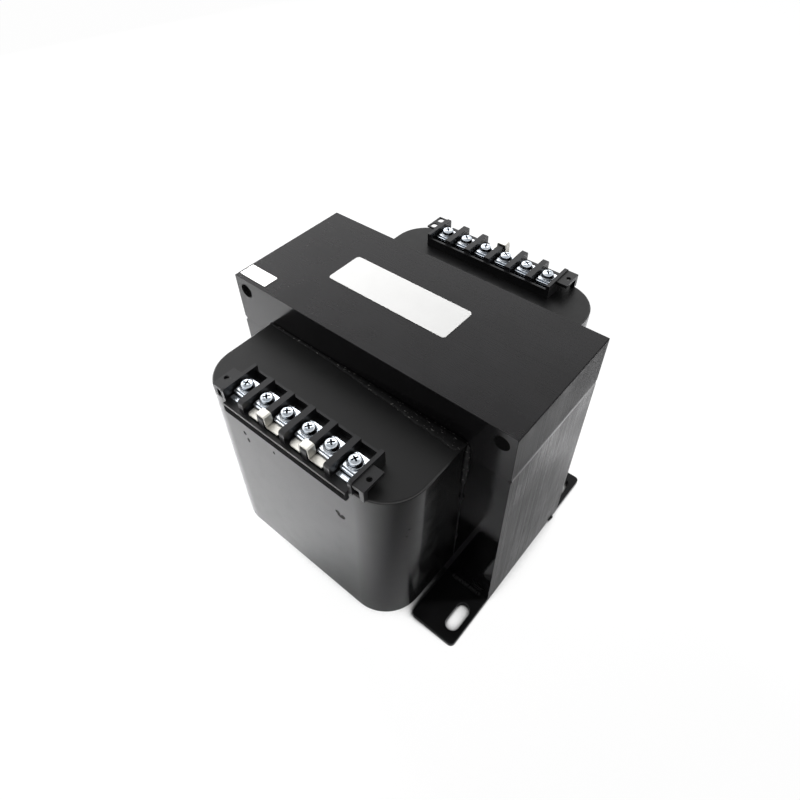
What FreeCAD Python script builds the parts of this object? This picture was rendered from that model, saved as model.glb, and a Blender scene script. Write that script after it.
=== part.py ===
import FreeCAD, Part
import math
import os
import re
import Sketcher

# Laminated chassis transformer, about 1.5 kVA, in millimetres.
# X runs along the long side of the core, Y through the stack, Z up.
# The origin is on the floor under the middle of the core.

# Every size is written once here and copied into the sheet.
SIZES = [
    ("leg_width", 28.575, "outer legs and both yokes of the lamination"),
    ("tongue_width", 57.15, "centre leg that carries the coil"),
    ("window_width", 28.575, "window beside the centre leg"),
    ("window_height", 85.725, "window between the yokes"),
    ("stack_depth", 75.7, "thickness of the pile of laminations"),
    ("corner_hole_bore", 7.9, "through hole at each corner of the lamination"),
    ("corner_hole_inset", 7.14, "hole centre from the two nearest edges"),
    ("weld_groove", 1.4, "depth of the groove at the joint of the two stacks"),
    ("weld_crown", 0.5, "height of the weld bead over the side"),
    ("weld_end_gap", 2.5, "bare groove at each end of the weld"),
    ("foot_thickness", 3.2, "steel strip under the core"),
    ("foot_width", 28.0, "width of the strip"),
    ("foot_length", 137.0, "length of the strip through the stack"),
    ("foot_shift", 2.5, "middle of the strip in front of the middle of the stack"),
    ("foot_corner", 2.6, "corner radius of the strip"),
    ("slot_width", 7.9, "mounting slot, across"),
    ("slot_travel", 9.6, "mounting slot, between its end centres"),
    ("slot_end_inset", 14.7, "slot centre from the end of the foot"),
    ("slot_inset", 6.95, "slot centre from the outer edge of the foot"),
    ("foot_weld_leg", 2.2, "leg of the weld between foot and core"),
    ("foot_weld_length", 19.0, "length of that weld"),
    ("former_gap", 0.3, "clearance between the centre leg and the coil former"),
    ("former_wall", 1.6, "wall of the coil former"),
    ("former_end_gap", 0.5, "former to each yoke"),
    ("inner_build", 10.2, "inner winding in the window"),
    ("layer_wall", 1.0, "insulation between the windings"),
    ("outer_build", 10.0, "outer winding in the window"),
    ("inner_bulge", 17.0, "inner winding in front of the core"),
    ("outer_bulge", 19.0, "outer winding in front of the core"),
    ("winding_margin", 3.0, "bare former above and below the wire"),
    ("winding_corner", 5.0, "corner radius of the first layer of wire"),
    ("window_gap", 0.5, "resin to the outer leg and to the yokes"),
    ("coil_overhang", 8.4375, "cast ends beyond the window, above and below"),
    ("coil_top_half", 63.1, "half width of the cast ends at the top"),
    ("coil_foot_half", 60.8, "half width of the cast ends at the bottom"),
    ("coil_top_reach", 49.75, "cast end in front of the core at the top"),
    ("coil_foot_reach", 52.75, "cast end in front of the core at the bottom"),
    ("coil_corner", 21.3, "corner radius of the cast ends"),
    ("coil_edge", 1.2, "rounded rim of the cast ends"),
    ("block_shift", 1.6, "block centre from the middle of the core"),
    ("block_inner_wall", 1.2, "wall of the block on the core side"),
    ("inner_wall_drop", 2.6, "that wall below the top of the barriers"),
    ("block_from_core", 30.0, "core face to the block"),
    ("block_depth", 20.8, "block from its inner wall to the barrier fronts"),
    ("block_floor", 1.5, "floor of the block"),
    ("barrier_height", 6.6, "barriers over the floor"),
    ("terminal_pitch", 13.45, "from screw to screw"),
    ("barrier_wall", 3.4, "barrier between two terminals"),
    ("end_wall", 2.0, "end wall of the block"),
    ("barrier_nose", 1.5, "rounded top of the barrier fronts"),
    ("lip_reach", 1.8, "front lip beyond the barriers"),
    ("lip_wall", 2.0, "skirt of the lip over the front of the coil"),
    ("lip_drop", 4.2, "skirt below the top of the coil"),
    ("lip_setback", 2.2, "end of the lip from the end of the block"),
    ("ear_width", 6.2, "ear beside each end wall"),
    ("ear_length", 12.7, "ear along the block's depth"),
    ("ear_wall", 1.8, "plate of the ear"),
    ("ear_drop", 0.9, "ear below the top of the barriers"),
    ("ear_front_gap", 0.5, "ear behind the barrier fronts"),
    ("ear_bore", 2.6, "hole of the ear"),
    ("ear_window", 4.4, "long side of the see-through opening in one ear"),
    ("ear_window_bridge", 2.6, "bar between its two see-through openings"),
    ("ear_post", 2.4, "post under the outer corner of the ear"),
    ("terminal_plate_width", 8.6, "terminal plate, along the block"),
    ("terminal_plate_length", 14.0, "terminal plate, across the block"),
    ("terminal_plate_wall", 1.0, "thickness of the terminal plate"),
    ("terminal_plate_setback", 2.2, "terminal plate behind the barrier fronts"),
    ("screw_from_wall", 10.7, "screw centre from the inner face of the block"),
    ("screw_bore", 3.4, "screw shank"),
    ("screw_play", 0.2, "clearance round the shank in plate and floor"),
    ("screw_tip_gap", 0.35, "screw tip over the cast end"),
    ("screw_collar", 7.0, "round collar under the head"),
    ("screw_collar_wall", 0.6, "thickness of the collar"),
    ("screw_head", 6.3, "diameter of the head"),
    ("screw_head_rise", 2.3, "height of the head"),
    ("screw_head_edge", 0.6, "chamfer of the head"),
    ("recess_length", 3.6, "cross recess, tip to tip"),
    ("recess_width", 0.8, "cross recess, across an arm"),
    ("recess_depth", 1.3, "cross recess, deep"),
    ("clamp_width", 8.8, "lower clamp plate, along the block"),
    ("clamp_length", 10.6, "lower clamp plate, across the block"),
    ("clamp_wall", 1.0, "thickness of each clamp plate"),
    ("clamp_lift", 0.3, "bend of the lower clamp plate"),
    ("clamp_step", 0.5, "upper clamp plate inside the lower, each side"),
    ("clamp_bore_play", 0.5, "clearance round the shank in the clamp plates"),
    ("link_wall", 0.8, "strip of the jumper link"),
    ("link_play", 0.3, "link to the barrier that it straddles"),
    ("link_tongue_half", 3.3, "half width of a tongue beyond its screw"),
    ("link_hump_length", 4.2, "hump along the barrier"),
    ("link_tongue_length", 12.2, "tongue, across the block"),
    ("lead_bore", 1.7, "lead wire"),
    ("lead_inset", 1.6, "lead from the inner end of its terminal plate"),
    ("lead_rise", 4.0, "height at which a lead leaves the inner winding"),
    ("lead_sink", 3.2, "lead end inside the first layer of its winding"),
    ("label_length", 73.9, "rating label, along the core"),
    ("label_width", 22.9, "rating label, through the stack"),
    ("label_left", 46.3, "left end of the label from the middle"),
    ("label_shift", 2.1, "label centre behind the middle of the stack"),
    ("label_corner", 2.0, "corner radius of the label"),
    ("sticker_length", 18.9, "small sticker, along the core"),
    ("sticker_width", 8.8, "small sticker, through the stack"),
    ("sticker_inset", 1.0, "sticker from the left edge of the core"),
    ("sticker_front", 2.7, "sticker from the front edge of the core"),
    ("sticker_corner", 0.6, "corner radius of the sticker"),
    ("paper_wall", 0.2, "thickness of label and sticker"),
]

TERMINALS = 6

doc = FreeCAD.newDocument("chassis_transformer")
sheet = doc.addObject("Spreadsheet::Sheet", "Dimensions")
for row, (word, number, note) in enumerate(SIZES, start=1):
    sheet.set("A%d" % row, word)
    sheet.set("B%d" % row, str(number))
    sheet.set("C%d" % row, note)
    sheet.setAlias("B%d" % row, word)
doc.recompute()

# Levels and faces that several pieces share, as formulas of the sizes.
CORE_HALF = "(leg_width + window_width + tongue_width / 2)"
CORE_FRONT = "(stack_depth / 2)"
WINDOW_FOOT = "(foot_thickness + leg_width)"
SEAM = "(foot_thickness + leg_width + window_height)"
CORE_TOP = "(foot_thickness + 2 * leg_width + window_height)"
COIL_FOOT = "(foot_thickness + leg_width - coil_overhang)"
COIL_TOP = "(foot_thickness + leg_width + window_height + coil_overhang)"
FORMER_X = "(tongue_width / 2 + former_gap)"
FORMER_Y = "(stack_depth / 2 + former_gap)"
WIRE_X = "(tongue_width / 2 + former_gap + former_wall)"
WIRE_Y = "(stack_depth / 2 + former_gap + former_wall)"
FORMER_LOW = "(foot_thickness + leg_width + former_end_gap)"
FORMER_TALL = "(window_height - 2 * former_end_gap)"
WIRE_LOW = "(foot_thickness + leg_width + former_end_gap + winding_margin)"
WIRE_TALL = "(window_height - 2 * former_end_gap - 2 * winding_margin)"
LAYER_X = "(%s + inner_build)" % WIRE_X
LAYER_Y = "(%s + inner_bulge)" % WIRE_Y
OUTER_X = "(%s + layer_wall)" % LAYER_X
OUTER_Y = "(%s + layer_wall)" % LAYER_Y
COIL_X = "(%s + outer_build)" % OUTER_X
COIL_Y = "(%s + outer_bulge)" % OUTER_Y
BLOCK_BACK = "(stack_depth / 2 + block_from_core)"
BLOCK_FRONT = "(stack_depth / 2 + block_from_core + block_depth)"
LIP_FRONT = "(stack_depth / 2 + block_from_core + block_depth + lip_reach)"
BLOCK_HALF = "(%d * terminal_pitch / 2 - barrier_wall / 2 + end_wall)" % TERMINALS
FLOOR = "(%s + block_floor)" % COIL_TOP
RIM = "(%s + barrier_height)" % FLOOR
SCREW_Y = "(%s + screw_from_wall)" % BLOCK_BACK
PLATE_FRONT = "(%s - terminal_plate_setback)" % BLOCK_FRONT
PLATE_BACK = "(%s - terminal_plate_length)" % PLATE_FRONT
PLATE_TOP = "(%s + terminal_plate_wall)" % FLOOR
CLAMP_LOW = "(%s + link_wall)" % PLATE_TOP
CLAMP_MID = "(%s + clamp_wall + clamp_lift)" % CLAMP_LOW
CLAMP_TOP = "(%s + clamp_wall)" % CLAMP_MID
COLLAR_TOP = "(%s + screw_collar_wall)" % CLAMP_TOP
LEAD_Y = "(%s + lead_inset)" % PLATE_BACK

Vector = FreeCAD.Vector
Z_AXIS = Vector(0, 0, 1)
HALF_TURN = FreeCAD.Rotation(Z_AXIS, 180)


def formula(text):
    """Points the size names of a formula at the sheet."""
    return re.sub(r"[a-z]+_[a-z_]+", lambda found: "Dimensions." + found.group(0), text)


def value(text):
    """Works a formula out as a plain number."""
    return float(sheet.evalExpression(formula(text)))


def new_body(name):
    body = doc.addObject("PartDesign::Body", name)
    body.Label = name
    return body


def origin_plane(body, role):
    return [item for item in body.Origin.OriginFeatures if item.Role == role][0]


def new_sketch(body, name, role, height="0"):
    """Starts a sketch on one of the body's own planes, raised by a formula."""
    sketch = body.newObject("Sketcher::SketchObject", name)
    sketch.AttachmentSupport = [(origin_plane(body, role), "")]
    sketch.MapMode = "FlatFace"
    if height != "0":
        sketch.setExpression("AttachmentOffset.Base.z", formula(height))
    return sketch


def bind_point(sketch, line, end, across, along):
    """Ties one point of a sketch to two formulas."""
    for kind, text in (("DistanceX", across), ("DistanceY", along)):
        rule = sketch.addConstraint(Sketcher.Constraint(kind, -1, 1, line, end, value(text)))
        sketch.setExpression("Constraints[%d]" % rule, formula(text))


def draw_outline(sketch, corners):
    """Closes straight lines through corners given as pairs of formulas."""
    points = [Vector(value(across), value(along), 0) for across, along in corners]
    first = sketch.GeometryCount
    for index, point in enumerate(points):
        after = points[(index + 1) % len(points)]
        sketch.addGeometry(Part.LineSegment(point, after), False)
    for index in range(len(points)):
        follower = first + (index + 1) % len(points)
        sketch.addConstraint(Sketcher.Constraint("Coincident", first + index, 2, follower, 1))
    for index, (across, along) in enumerate(corners):
        bind_point(sketch, first + index, 1, across, along)


def draw_rectangle(sketch, left, right, low, high):
    draw_outline(sketch, [(left, low), (right, low), (right, high), (left, high)])


def draw_frame(sketch, halves, corner):
    """Draws a rectangle round the origin by its half sizes, rounded if a corner is given."""
    half_x, half_y = halves
    if corner is None:
        draw_rectangle(sketch, "-" + half_x, half_x, "-" + half_y, half_y)
        return
    x, y, radius = value(half_x), value(half_y), value(corner)
    first = sketch.GeometryCount
    signs = [("", ""), ("-", ""), ("-", "-"), ("", "-")]
    centres = []
    for side, end in signs:
        centres.append((
            "%s(%s - %s)" % (side, half_x, corner),
            "%s(%s - %s)" % (end, half_y, corner),
        ))
    for turn, (across, along) in enumerate(centres):
        start = turn * math.pi / 2
        circle = Part.Circle(Vector(value(across), value(along), 0), Z_AXIS, radius)
        sketch.addGeometry(Part.ArcOfCircle(circle, start, start + math.pi / 2), False)
    sides = [
        (Vector(x - radius, y, 0), Vector(radius - x, y, 0)),
        (Vector(-x, y - radius, 0), Vector(-x, radius - y, 0)),
        (Vector(radius - x, -y, 0), Vector(x - radius, -y, 0)),
        (Vector(x, radius - y, 0), Vector(x, y - radius, 0)),
    ]
    for start, end in sides:
        sketch.addGeometry(Part.LineSegment(start, end), False)
    for turn in range(4):
        arc = first + turn
        line = first + 4 + turn
        after = first + (turn + 1) % 4
        sketch.addConstraint(Sketcher.Constraint("Tangent", arc, 2, line, 1))
        sketch.addConstraint(Sketcher.Constraint("Tangent", line, 2, after, 1))
    for turn in range(1, 4):
        sketch.addConstraint(Sketcher.Constraint("Equal", first, first + turn))
    for turn, (across, along) in enumerate(centres):
        bind_point(sketch, first + turn, 3, across, along)
    rule = sketch.addConstraint(Sketcher.Constraint("Radius", first, radius))
    sketch.setExpression("Constraints[%d]" % rule, formula(corner))


def draw_circle(sketch, across, along, bore):
    """Draws a round hole by its centre and its diameter."""
    centre = Vector(value(across), value(along), 0)
    index = sketch.GeometryCount
    sketch.addGeometry(Part.Circle(centre, Z_AXIS, value(bore) / 2), False)
    bind_point(sketch, index, 3, across, along)
    rule = sketch.addConstraint(Sketcher.Constraint("Radius", index, value(bore) / 2))
    sketch.setExpression("Constraints[%d]" % rule, formula("(%s) / 2" % bore))


def draw_slot(sketch, across, along, travel, bore):
    """Draws a slot along the sketch's second axis, with round ends."""
    far = "(%s) + (%s) / 2" % (along, travel)
    near = "(%s) - (%s) / 2" % (along, travel)
    radius = value(bore) / 2
    top = Vector(value(across), value(far), 0)
    foot = Vector(value(across), value(near), 0)
    side = Vector(radius, 0, 0)
    first = sketch.GeometryCount
    sketch.addGeometry(Part.ArcOfCircle(Part.Circle(top, Z_AXIS, radius), 0, math.pi), False)
    sketch.addGeometry(Part.LineSegment(top - side, foot - side), False)
    under = Part.ArcOfCircle(Part.Circle(foot, Z_AXIS, radius), math.pi, 2 * math.pi)
    sketch.addGeometry(under, False)
    sketch.addGeometry(Part.LineSegment(foot + side, top + side), False)
    for index in range(4):
        follower = first + (index + 1) % 4
        sketch.addConstraint(Sketcher.Constraint("Tangent", first + index, 2, follower, 1))
    sketch.addConstraint(Sketcher.Constraint("Equal", first, first + 2))
    bind_point(sketch, first, 3, across, far)
    bind_point(sketch, first + 2, 3, across, near)
    rule = sketch.addConstraint(Sketcher.Constraint("Radius", first, radius))
    sketch.setExpression("Constraints[%d]" % rule, formula("(%s) / 2" % bore))


def pad(body, name, sketch, length, symmetric=False):
    feature = body.newObject("PartDesign::Pad", name)
    feature.Profile = sketch
    feature.setExpression("Length", formula(length))
    feature.SideType = "Symmetric" if symmetric else "One side"
    doc.recompute()
    return feature


def pocket(body, name, sketch, length=None):
    """Cuts a sketch through the body, both ways; the volume has to shrink."""
    before = body.Shape.Volume
    feature = body.newObject("PartDesign::Pocket", name)
    feature.Profile = sketch
    feature.SideType = "Symmetric"
    if length is None:
        feature.Type = "ThroughAll"
    else:
        feature.setExpression("Length", formula("2 * (%s)" % length))
    doc.recompute()
    if not body.Shape.Volume < before:
        raise ValueError("%s cut nothing" % name)
    return feature


def round_edges(body, name, radius, wanted):
    """Rounds the edges that a test picks."""
    base = body.Tip
    names = ["Edge%d" % (i + 1) for i, edge in enumerate(base.Shape.Edges) if wanted(edge)]
    if not names:
        raise ValueError("%s finds no edge" % name)
    feature = body.newObject("PartDesign::Fillet", name)
    feature.Base = (base, names)
    feature.setExpression("Radius", formula(radius))
    doc.recompute()
    return feature


def is_upright(edge):
    """True for a straight edge that stands up or nearly so."""
    if len(edge.Vertexes) != 2:
        return False
    chord = edge.Vertexes[1].Point - edge.Vertexes[0].Point
    return abs(chord.z) > 0.9 * edge.Length


# The E-shaped stack stands on the feet with its legs up, the I-shaped stack closes it.
def core_stack(name, corners, hole_level):
    body = new_body(name)
    sketch = new_sketch(body, name + "_outline", "XZ_Plane")
    draw_outline(sketch, corners)
    pad(body, name + "_pile", sketch, "stack_depth", symmetric=True)
    bores = new_sketch(body, name + "_hole_plan", "XZ_Plane")
    for sign in ("-", ""):
        centre = "%s(%s - corner_hole_inset)" % (sign, CORE_HALF)
        draw_circle(bores, centre, hole_level, "corner_hole_bore")
    pocket(body, name + "_holes", bores)
    return body


WINDOW_OUT = "(tongue_width / 2 + window_width)"
TONGUE = "(tongue_width / 2)"
E_CORNERS = [
    ("-" + CORE_HALF, "foot_thickness"),
    (CORE_HALF, "foot_thickness"),
    (CORE_HALF, SEAM + " - weld_groove"),
    (CORE_HALF + " - weld_groove", SEAM),
    (WINDOW_OUT, SEAM),
    (WINDOW_OUT, WINDOW_FOOT),
    (TONGUE, WINDOW_FOOT),
    (TONGUE, SEAM),
    ("-" + TONGUE, SEAM),
    ("-" + TONGUE, WINDOW_FOOT),
    ("-" + WINDOW_OUT, WINDOW_FOOT),
    ("-" + WINDOW_OUT, SEAM),
    ("-%s + weld_groove" % CORE_HALF, SEAM),
    ("-" + CORE_HALF, SEAM + " - weld_groove"),
]
I_CORNERS = [
    ("-%s + weld_groove" % CORE_HALF, SEAM),
    (CORE_HALF + " - weld_groove", SEAM),
    (CORE_HALF, SEAM + " + weld_groove"),
    (CORE_HALF, CORE_TOP),
    ("-" + CORE_HALF, CORE_TOP),
    ("-" + CORE_HALF, SEAM + " + weld_groove"),
]


# A weld bead fills the groove on each side and crowns a little over it.
def seam_weld(name, sign):
    body = new_body(name)
    sketch = new_sketch(body, name + "_section", "XZ_Plane")
    corners = [
        (CORE_HALF + " - weld_groove", SEAM),
        (CORE_HALF, SEAM + " - weld_groove"),
        (CORE_HALF + " + weld_crown", SEAM + " - weld_groove / 2"),
        (CORE_HALF + " + weld_crown", SEAM + " + weld_groove / 2"),
        (CORE_HALF, SEAM + " + weld_groove"),
    ]
    draw_outline(sketch, [("%s(%s)" % (sign, across), level) for across, level in corners])
    pad(body, name + "_run", sketch, "stack_depth - 2 * weld_end_gap", symmetric=True)
    return body


# A foot is one steel strip, flush with the side of the core, with a slot at each end.
def foot(name, sign):
    body = new_body(name)
    plan = new_sketch(body, name + "_plan", "XY_Plane")
    outer = "%s%s" % (sign, CORE_HALF)
    inner = "%s(%s - foot_width)" % (sign, CORE_HALF)
    front = "-(foot_length / 2 + foot_shift)"
    back = "(foot_length / 2 - foot_shift)"
    draw_rectangle(plan, inner, outer, front, back)
    pad(body, name + "_strip", plan, "foot_thickness")
    round_edges(body, name + "_corners", "foot_corner", is_upright)
    slots = new_sketch(body, name + "_slot_plan", "XY_Plane")
    centre = "%s(%s - slot_inset)" % (sign, CORE_HALF)
    draw_slot(slots, centre, front + " + slot_end_inset", "slot_travel", "slot_width")
    draw_slot(slots, centre, back + " - slot_end_inset", "slot_travel", "slot_width")
    pocket(body, name + "_slots", slots)
    return body


# Four short fillet welds hold the feet, where their tops meet the faces of the core.
def foot_welds(name):
    leg = value("foot_weld_leg")
    run = value("foot_weld_length")
    level = value("foot_thickness")
    beads = []
    for side in (-1, 1):
        for face in (-1, 1):
            start = side * value(CORE_HALF + " - foot_width / 2") - run / 2
            wall = face * value(CORE_FRONT)
            corners = [
                Vector(start, wall, level),
                Vector(start, wall + face * leg, level),
                Vector(start, wall, level + leg),
            ]
            section = Part.Face(Part.makePolygon(corners + corners[:1]))
            beads.append(section.extrude(Vector(run, 0, 0)))
    feature = doc.addObject("Part::Feature", name)
    feature.Label = name
    feature.Shape = Part.makeCompound(beads)
    return feature


# The former and each winding are upright rings round the centre leg.
def ring(name, outside, inside, low, tall, corner=None, inner_corner=None):
    body = new_body(name)
    plan = new_sketch(body, name + "_plan", "XY_Plane", low)
    draw_frame(plan, outside, corner)
    draw_frame(plan, inside, inner_corner)
    pad(body, name + "_wall", plan, tall)
    return body


# Lead wires rise from a winding through the resin to the terminal plates.
def leads(name, turned):
    wire_top = value("%s + %s" % (WIRE_LOW, WIRE_TALL))
    bend = wire_top + value("lead_rise")
    along = -value(LEAD_Y)
    start = -value(WIRE_Y + " + lead_sink")
    wires = []
    for index in range(TERMINALS):
        across = value("terminal_pitch") * (index - (TERMINALS - 1) / 2)
        path = [Vector(across, along, value(FLOOR)), Vector(across, along, wire_top)]
        if not turned:
            path = [
                Vector(across, along, value(FLOOR)),
                Vector(across, along, bend),
                Vector(across, start, bend),
                Vector(across, start, wire_top),
            ]
        wires.append(bent_wire(path))
    feature = doc.addObject("Part::Feature", name)
    feature.Label = name
    feature.Shape = Part.makeCompound(wires)
    feature.Placement = block_place(turned)
    return feature


def bent_wire(path):
    """Sweeps a round wire along straight runs with mitred bends."""
    section = Part.Wire(Part.makeCircle(value("lead_bore") / 2, path[0], path[1] - path[0]))
    return Part.makePolygon(path).makePipeShell([section], True, False, 1)


def block_place(turned):
    """The rear block is the front one turned half a turn about the middle."""
    shift = value("block_shift")
    if turned:
        return FreeCAD.Placement(Vector(-shift, 0, 0), HALF_TURN)
    return FreeCAD.Placement(Vector(shift, 0, 0), FreeCAD.Rotation())


# The resin fills the windows and swells into a rounded, slightly leaning end on each face.
def coil_casting(name):
    body = new_body(name + "_resin")
    rim = "0.3 * coil_edge"
    levels = [
        (COIL_FOOT, "foot", "coil_edge"),
        ("%s + %s" % (COIL_FOOT, rim), "foot", rim),
        (COIL_FOOT + " + coil_edge", "foot", "0"),
        (COIL_TOP + " - coil_edge", "top", "0"),
        ("%s - %s" % (COIL_TOP, rim), "top", rim),
        (COIL_TOP, "top", "coil_edge"),
    ]
    plans = []
    for index, (level, end, inset) in enumerate(levels):
        plan = new_sketch(body, "swell_plan_%d" % index, "XY_Plane", level)
        half = "(coil_%s_half - %s)" % (end, inset)
        reach = "(stack_depth / 2 + coil_%s_reach - %s)" % (end, inset)
        draw_frame(plan, (half, reach), "(coil_corner - %s)" % inset)
        plans.append(plan)
    swell = body.newObject("PartDesign::AdditiveLoft", "swell")
    swell.Profile = plans[0]
    swell.Sections = plans[1:]
    swell.Ruled = True
    doc.recompute()
    slab = new_sketch(body, "core_slab_plan", "XY_Plane", COIL_FOOT)
    draw_rectangle(slab, "-" + CORE_HALF, CORE_HALF, "-" + CORE_FRONT, CORE_FRONT)
    pocket(body, "core_slab", slab)
    for sign in ("-", ""):
        tag = "left" if sign else "right"
        plan = new_sketch(body, "%s_window_plan" % tag, "XY_Plane", FORMER_LOW)
        near = sign + FORMER_X
        far = "%s(tongue_width / 2 + window_width - window_gap)" % sign
        draw_rectangle(plan, near, far, "-" + CORE_FRONT, CORE_FRONT)
        pad(body, "%s_window_fill" % tag, plan, FORMER_TALL)
    return body


def coil_cavity(name):
    """The room that the former and the windings take inside the resin."""
    solids = []
    for half_x, half_y, low, tall, corner in (
        (WIRE_X, WIRE_Y, FORMER_LOW, FORMER_TALL, None),
        (COIL_X, COIL_Y, WIRE_LOW, WIRE_TALL, WIRE_RADII[3]),
    ):
        x, y = value(half_x), value(half_y)
        box = Part.makeBox(2 * x, 2 * y, value(tall), Vector(-x, -y, value(low)))
        if corner is not None:
            box = box.makeFillet(value(corner), [e for e in box.Edges if is_upright(e)])
        solids.append(box)
    feature = doc.addObject("Part::Feature", name)
    feature.Shape = solids[0].fuse(solids[1])
    return feature


WIRE_RADII = [
    "winding_corner",
    "(winding_corner + inner_build)",
    "(winding_corner + inner_build + layer_wall)",
    "(winding_corner + inner_build + layer_wall + outer_build)",
]


# A barrier block: floor, inner wall, barriers, end walls, front lip and an ear at each end.
def terminal_block(name, turned):
    body = new_body(name)
    body.Placement = block_place(turned)
    back = "-" + BLOCK_BACK
    front = "-" + BLOCK_FRONT
    lip = "-" + LIP_FRONT
    lip_half = "(%s - lip_setback)" % BLOCK_HALF

    floor = new_sketch(body, name + "_floor_plan", "XY_Plane", COIL_TOP)
    draw_outline(floor, [
        ("-" + BLOCK_HALF, back),
        ("-" + BLOCK_HALF, front),
        ("-" + lip_half, front),
        ("-" + lip_half, lip),
        (lip_half, lip),
        (lip_half, front),
        (BLOCK_HALF, front),
        (BLOCK_HALF, back),
    ])
    pad(body, name + "_floor", floor, "block_floor")

    skirt = new_sketch(body, name + "_skirt_plan", "XY_Plane", COIL_TOP + " - lip_drop")
    draw_rectangle(skirt, "-" + lip_half, lip_half, lip, lip + " + lip_wall")
    pad(body, name + "_skirt", skirt, "lip_drop + block_floor")

    wall_front = "-(%s + block_inner_wall)" % BLOCK_BACK
    comb = [("-" + BLOCK_HALF, back), ("-" + BLOCK_HALF, front)]
    for gap in range(TERMINALS):
        centre = "(%s * terminal_pitch)" % (gap - (TERMINALS - 1) / 2)
        left = "(%s - terminal_pitch / 2 + barrier_wall / 2)" % centre
        right = "(%s + terminal_pitch / 2 - barrier_wall / 2)" % centre
        comb += [(left, front), (left, wall_front), (right, wall_front), (right, front)]
    comb += [(BLOCK_HALF, front), (BLOCK_HALF, back)]
    walls = new_sketch(body, name + "_comb_plan", "XY_Plane", FLOOR)
    draw_outline(walls, comb)
    pad(body, name + "_comb", walls, "barrier_height")

    low_wall = new_sketch(body, name + "_low_wall_plan", "XY_Plane", RIM)
    inner_half = "(%s - end_wall)" % BLOCK_HALF
    draw_rectangle(low_wall, "-" + inner_half, inner_half, wall_front, back)
    pocket(body, name + "_low_wall", low_wall, "inner_wall_drop")

    front_face = -value(BLOCK_FRONT)
    rim = value(RIM)

    def at_nose(edge):
        middle = edge.CenterOfMass
        on_edge = abs(middle.z - rim) < 0.01 and abs(middle.y - front_face) < 0.01
        return on_edge and edge.BoundBox.XLength > 0.5

    round_edges(body, name + "_noses", "barrier_nose", at_nose)

    ear_top = "(%s - ear_drop)" % RIM
    ear_front = "-(%s - ear_front_gap)" % BLOCK_FRONT
    ear_back = "(%s + ear_length)" % ear_front
    ear_out = "(%s + ear_width)" % BLOCK_HALF
    ears = new_sketch(body, name + "_ear_plan", "XY_Plane", ear_top + " - ear_wall")
    for sign in ("-", ""):
        draw_rectangle(ears, sign + BLOCK_HALF, sign + ear_out, ear_front, ear_back)
    pad(body, name + "_ears", ears, "ear_wall")

    posts = new_sketch(body, name + "_post_plan", "XY_Plane", COIL_TOP)
    for sign in ("-", ""):
        if turned and not sign:
            continue
        inner = "%s(%s - ear_post)" % (sign, ear_out)
        draw_rectangle(posts, inner, sign + ear_out, ear_front, ear_front + " + ear_post")
    pad(body, name + "_posts", posts, "block_floor + barrier_height - ear_drop - ear_wall / 2")

    bores = new_sketch(body, name + "_bore_plan", "XY_Plane", RIM)
    ear_middle = "(%s + ear_length / 2)" % ear_front
    for sign in ("-", ""):
        across = "%s(%s + ear_width / 2 + ear_bore / 4)" % (sign, BLOCK_HALF)
        draw_circle(bores, across, ear_middle, "ear_bore")
    for index in range(TERMINALS):
        across = "%s * terminal_pitch" % (index - (TERMINALS - 1) / 2)
        draw_circle(bores, across, "-" + SCREW_Y, "screw_bore + screw_play")
        draw_circle(bores, across, "-" + LEAD_Y, "lead_bore")
    pocket(body, name + "_bores", bores)

    if turned:
        views = new_sketch(body, name + "_view_plan", "XY_Plane", RIM)
        left = "(%s + ear_width / 8)" % BLOCK_HALF
        right = "(%s + ear_width / 2)" % BLOCK_HALF
        low = "(%s - ear_window_bridge / 2)" % ear_middle
        high = "(%s + ear_window_bridge / 2)" % ear_middle
        draw_rectangle(views, left, right, low + " - ear_window", low)
        draw_rectangle(views, left, right, high, high + " + ear_window")
        pocket(body, name + "_views", views)
    return body


def terminal_row(name, master, turned):
    """Sets one copy of a master at each terminal of a block, as separate solids."""
    copies = []
    for index in range(TERMINALS):
        across = value("terminal_pitch") * (index - (TERMINALS - 1) / 2)
        copy = master.Shape.copy()
        copy.translate(Vector(across, 0, 0))
        copies.append(copy)
    feature = doc.addObject("Part::Feature", name)
    feature.Label = name
    feature.Shape = Part.makeCompound(copies)
    feature.Placement = block_place(turned)
    return feature


# The terminal plate lies on the block's floor; its screw hole is tapped.
def terminal_plate():
    body = new_body("terminal_plate_master")
    plan = new_sketch(body, "terminal_plate_plan", "XY_Plane", FLOOR)
    half = "terminal_plate_width / 2"
    draw_rectangle(plan, "-" + half, half, "-" + PLATE_FRONT, "-" + PLATE_BACK)
    pad(body, "terminal_plate_sheet", plan, "terminal_plate_wall")
    bore = new_sketch(body, "terminal_plate_bore", "XY_Plane", FLOOR)
    draw_circle(bore, "0", "-" + SCREW_Y, "screw_bore + screw_play")
    pocket(body, "terminal_plate_hole", bore)
    return body


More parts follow.
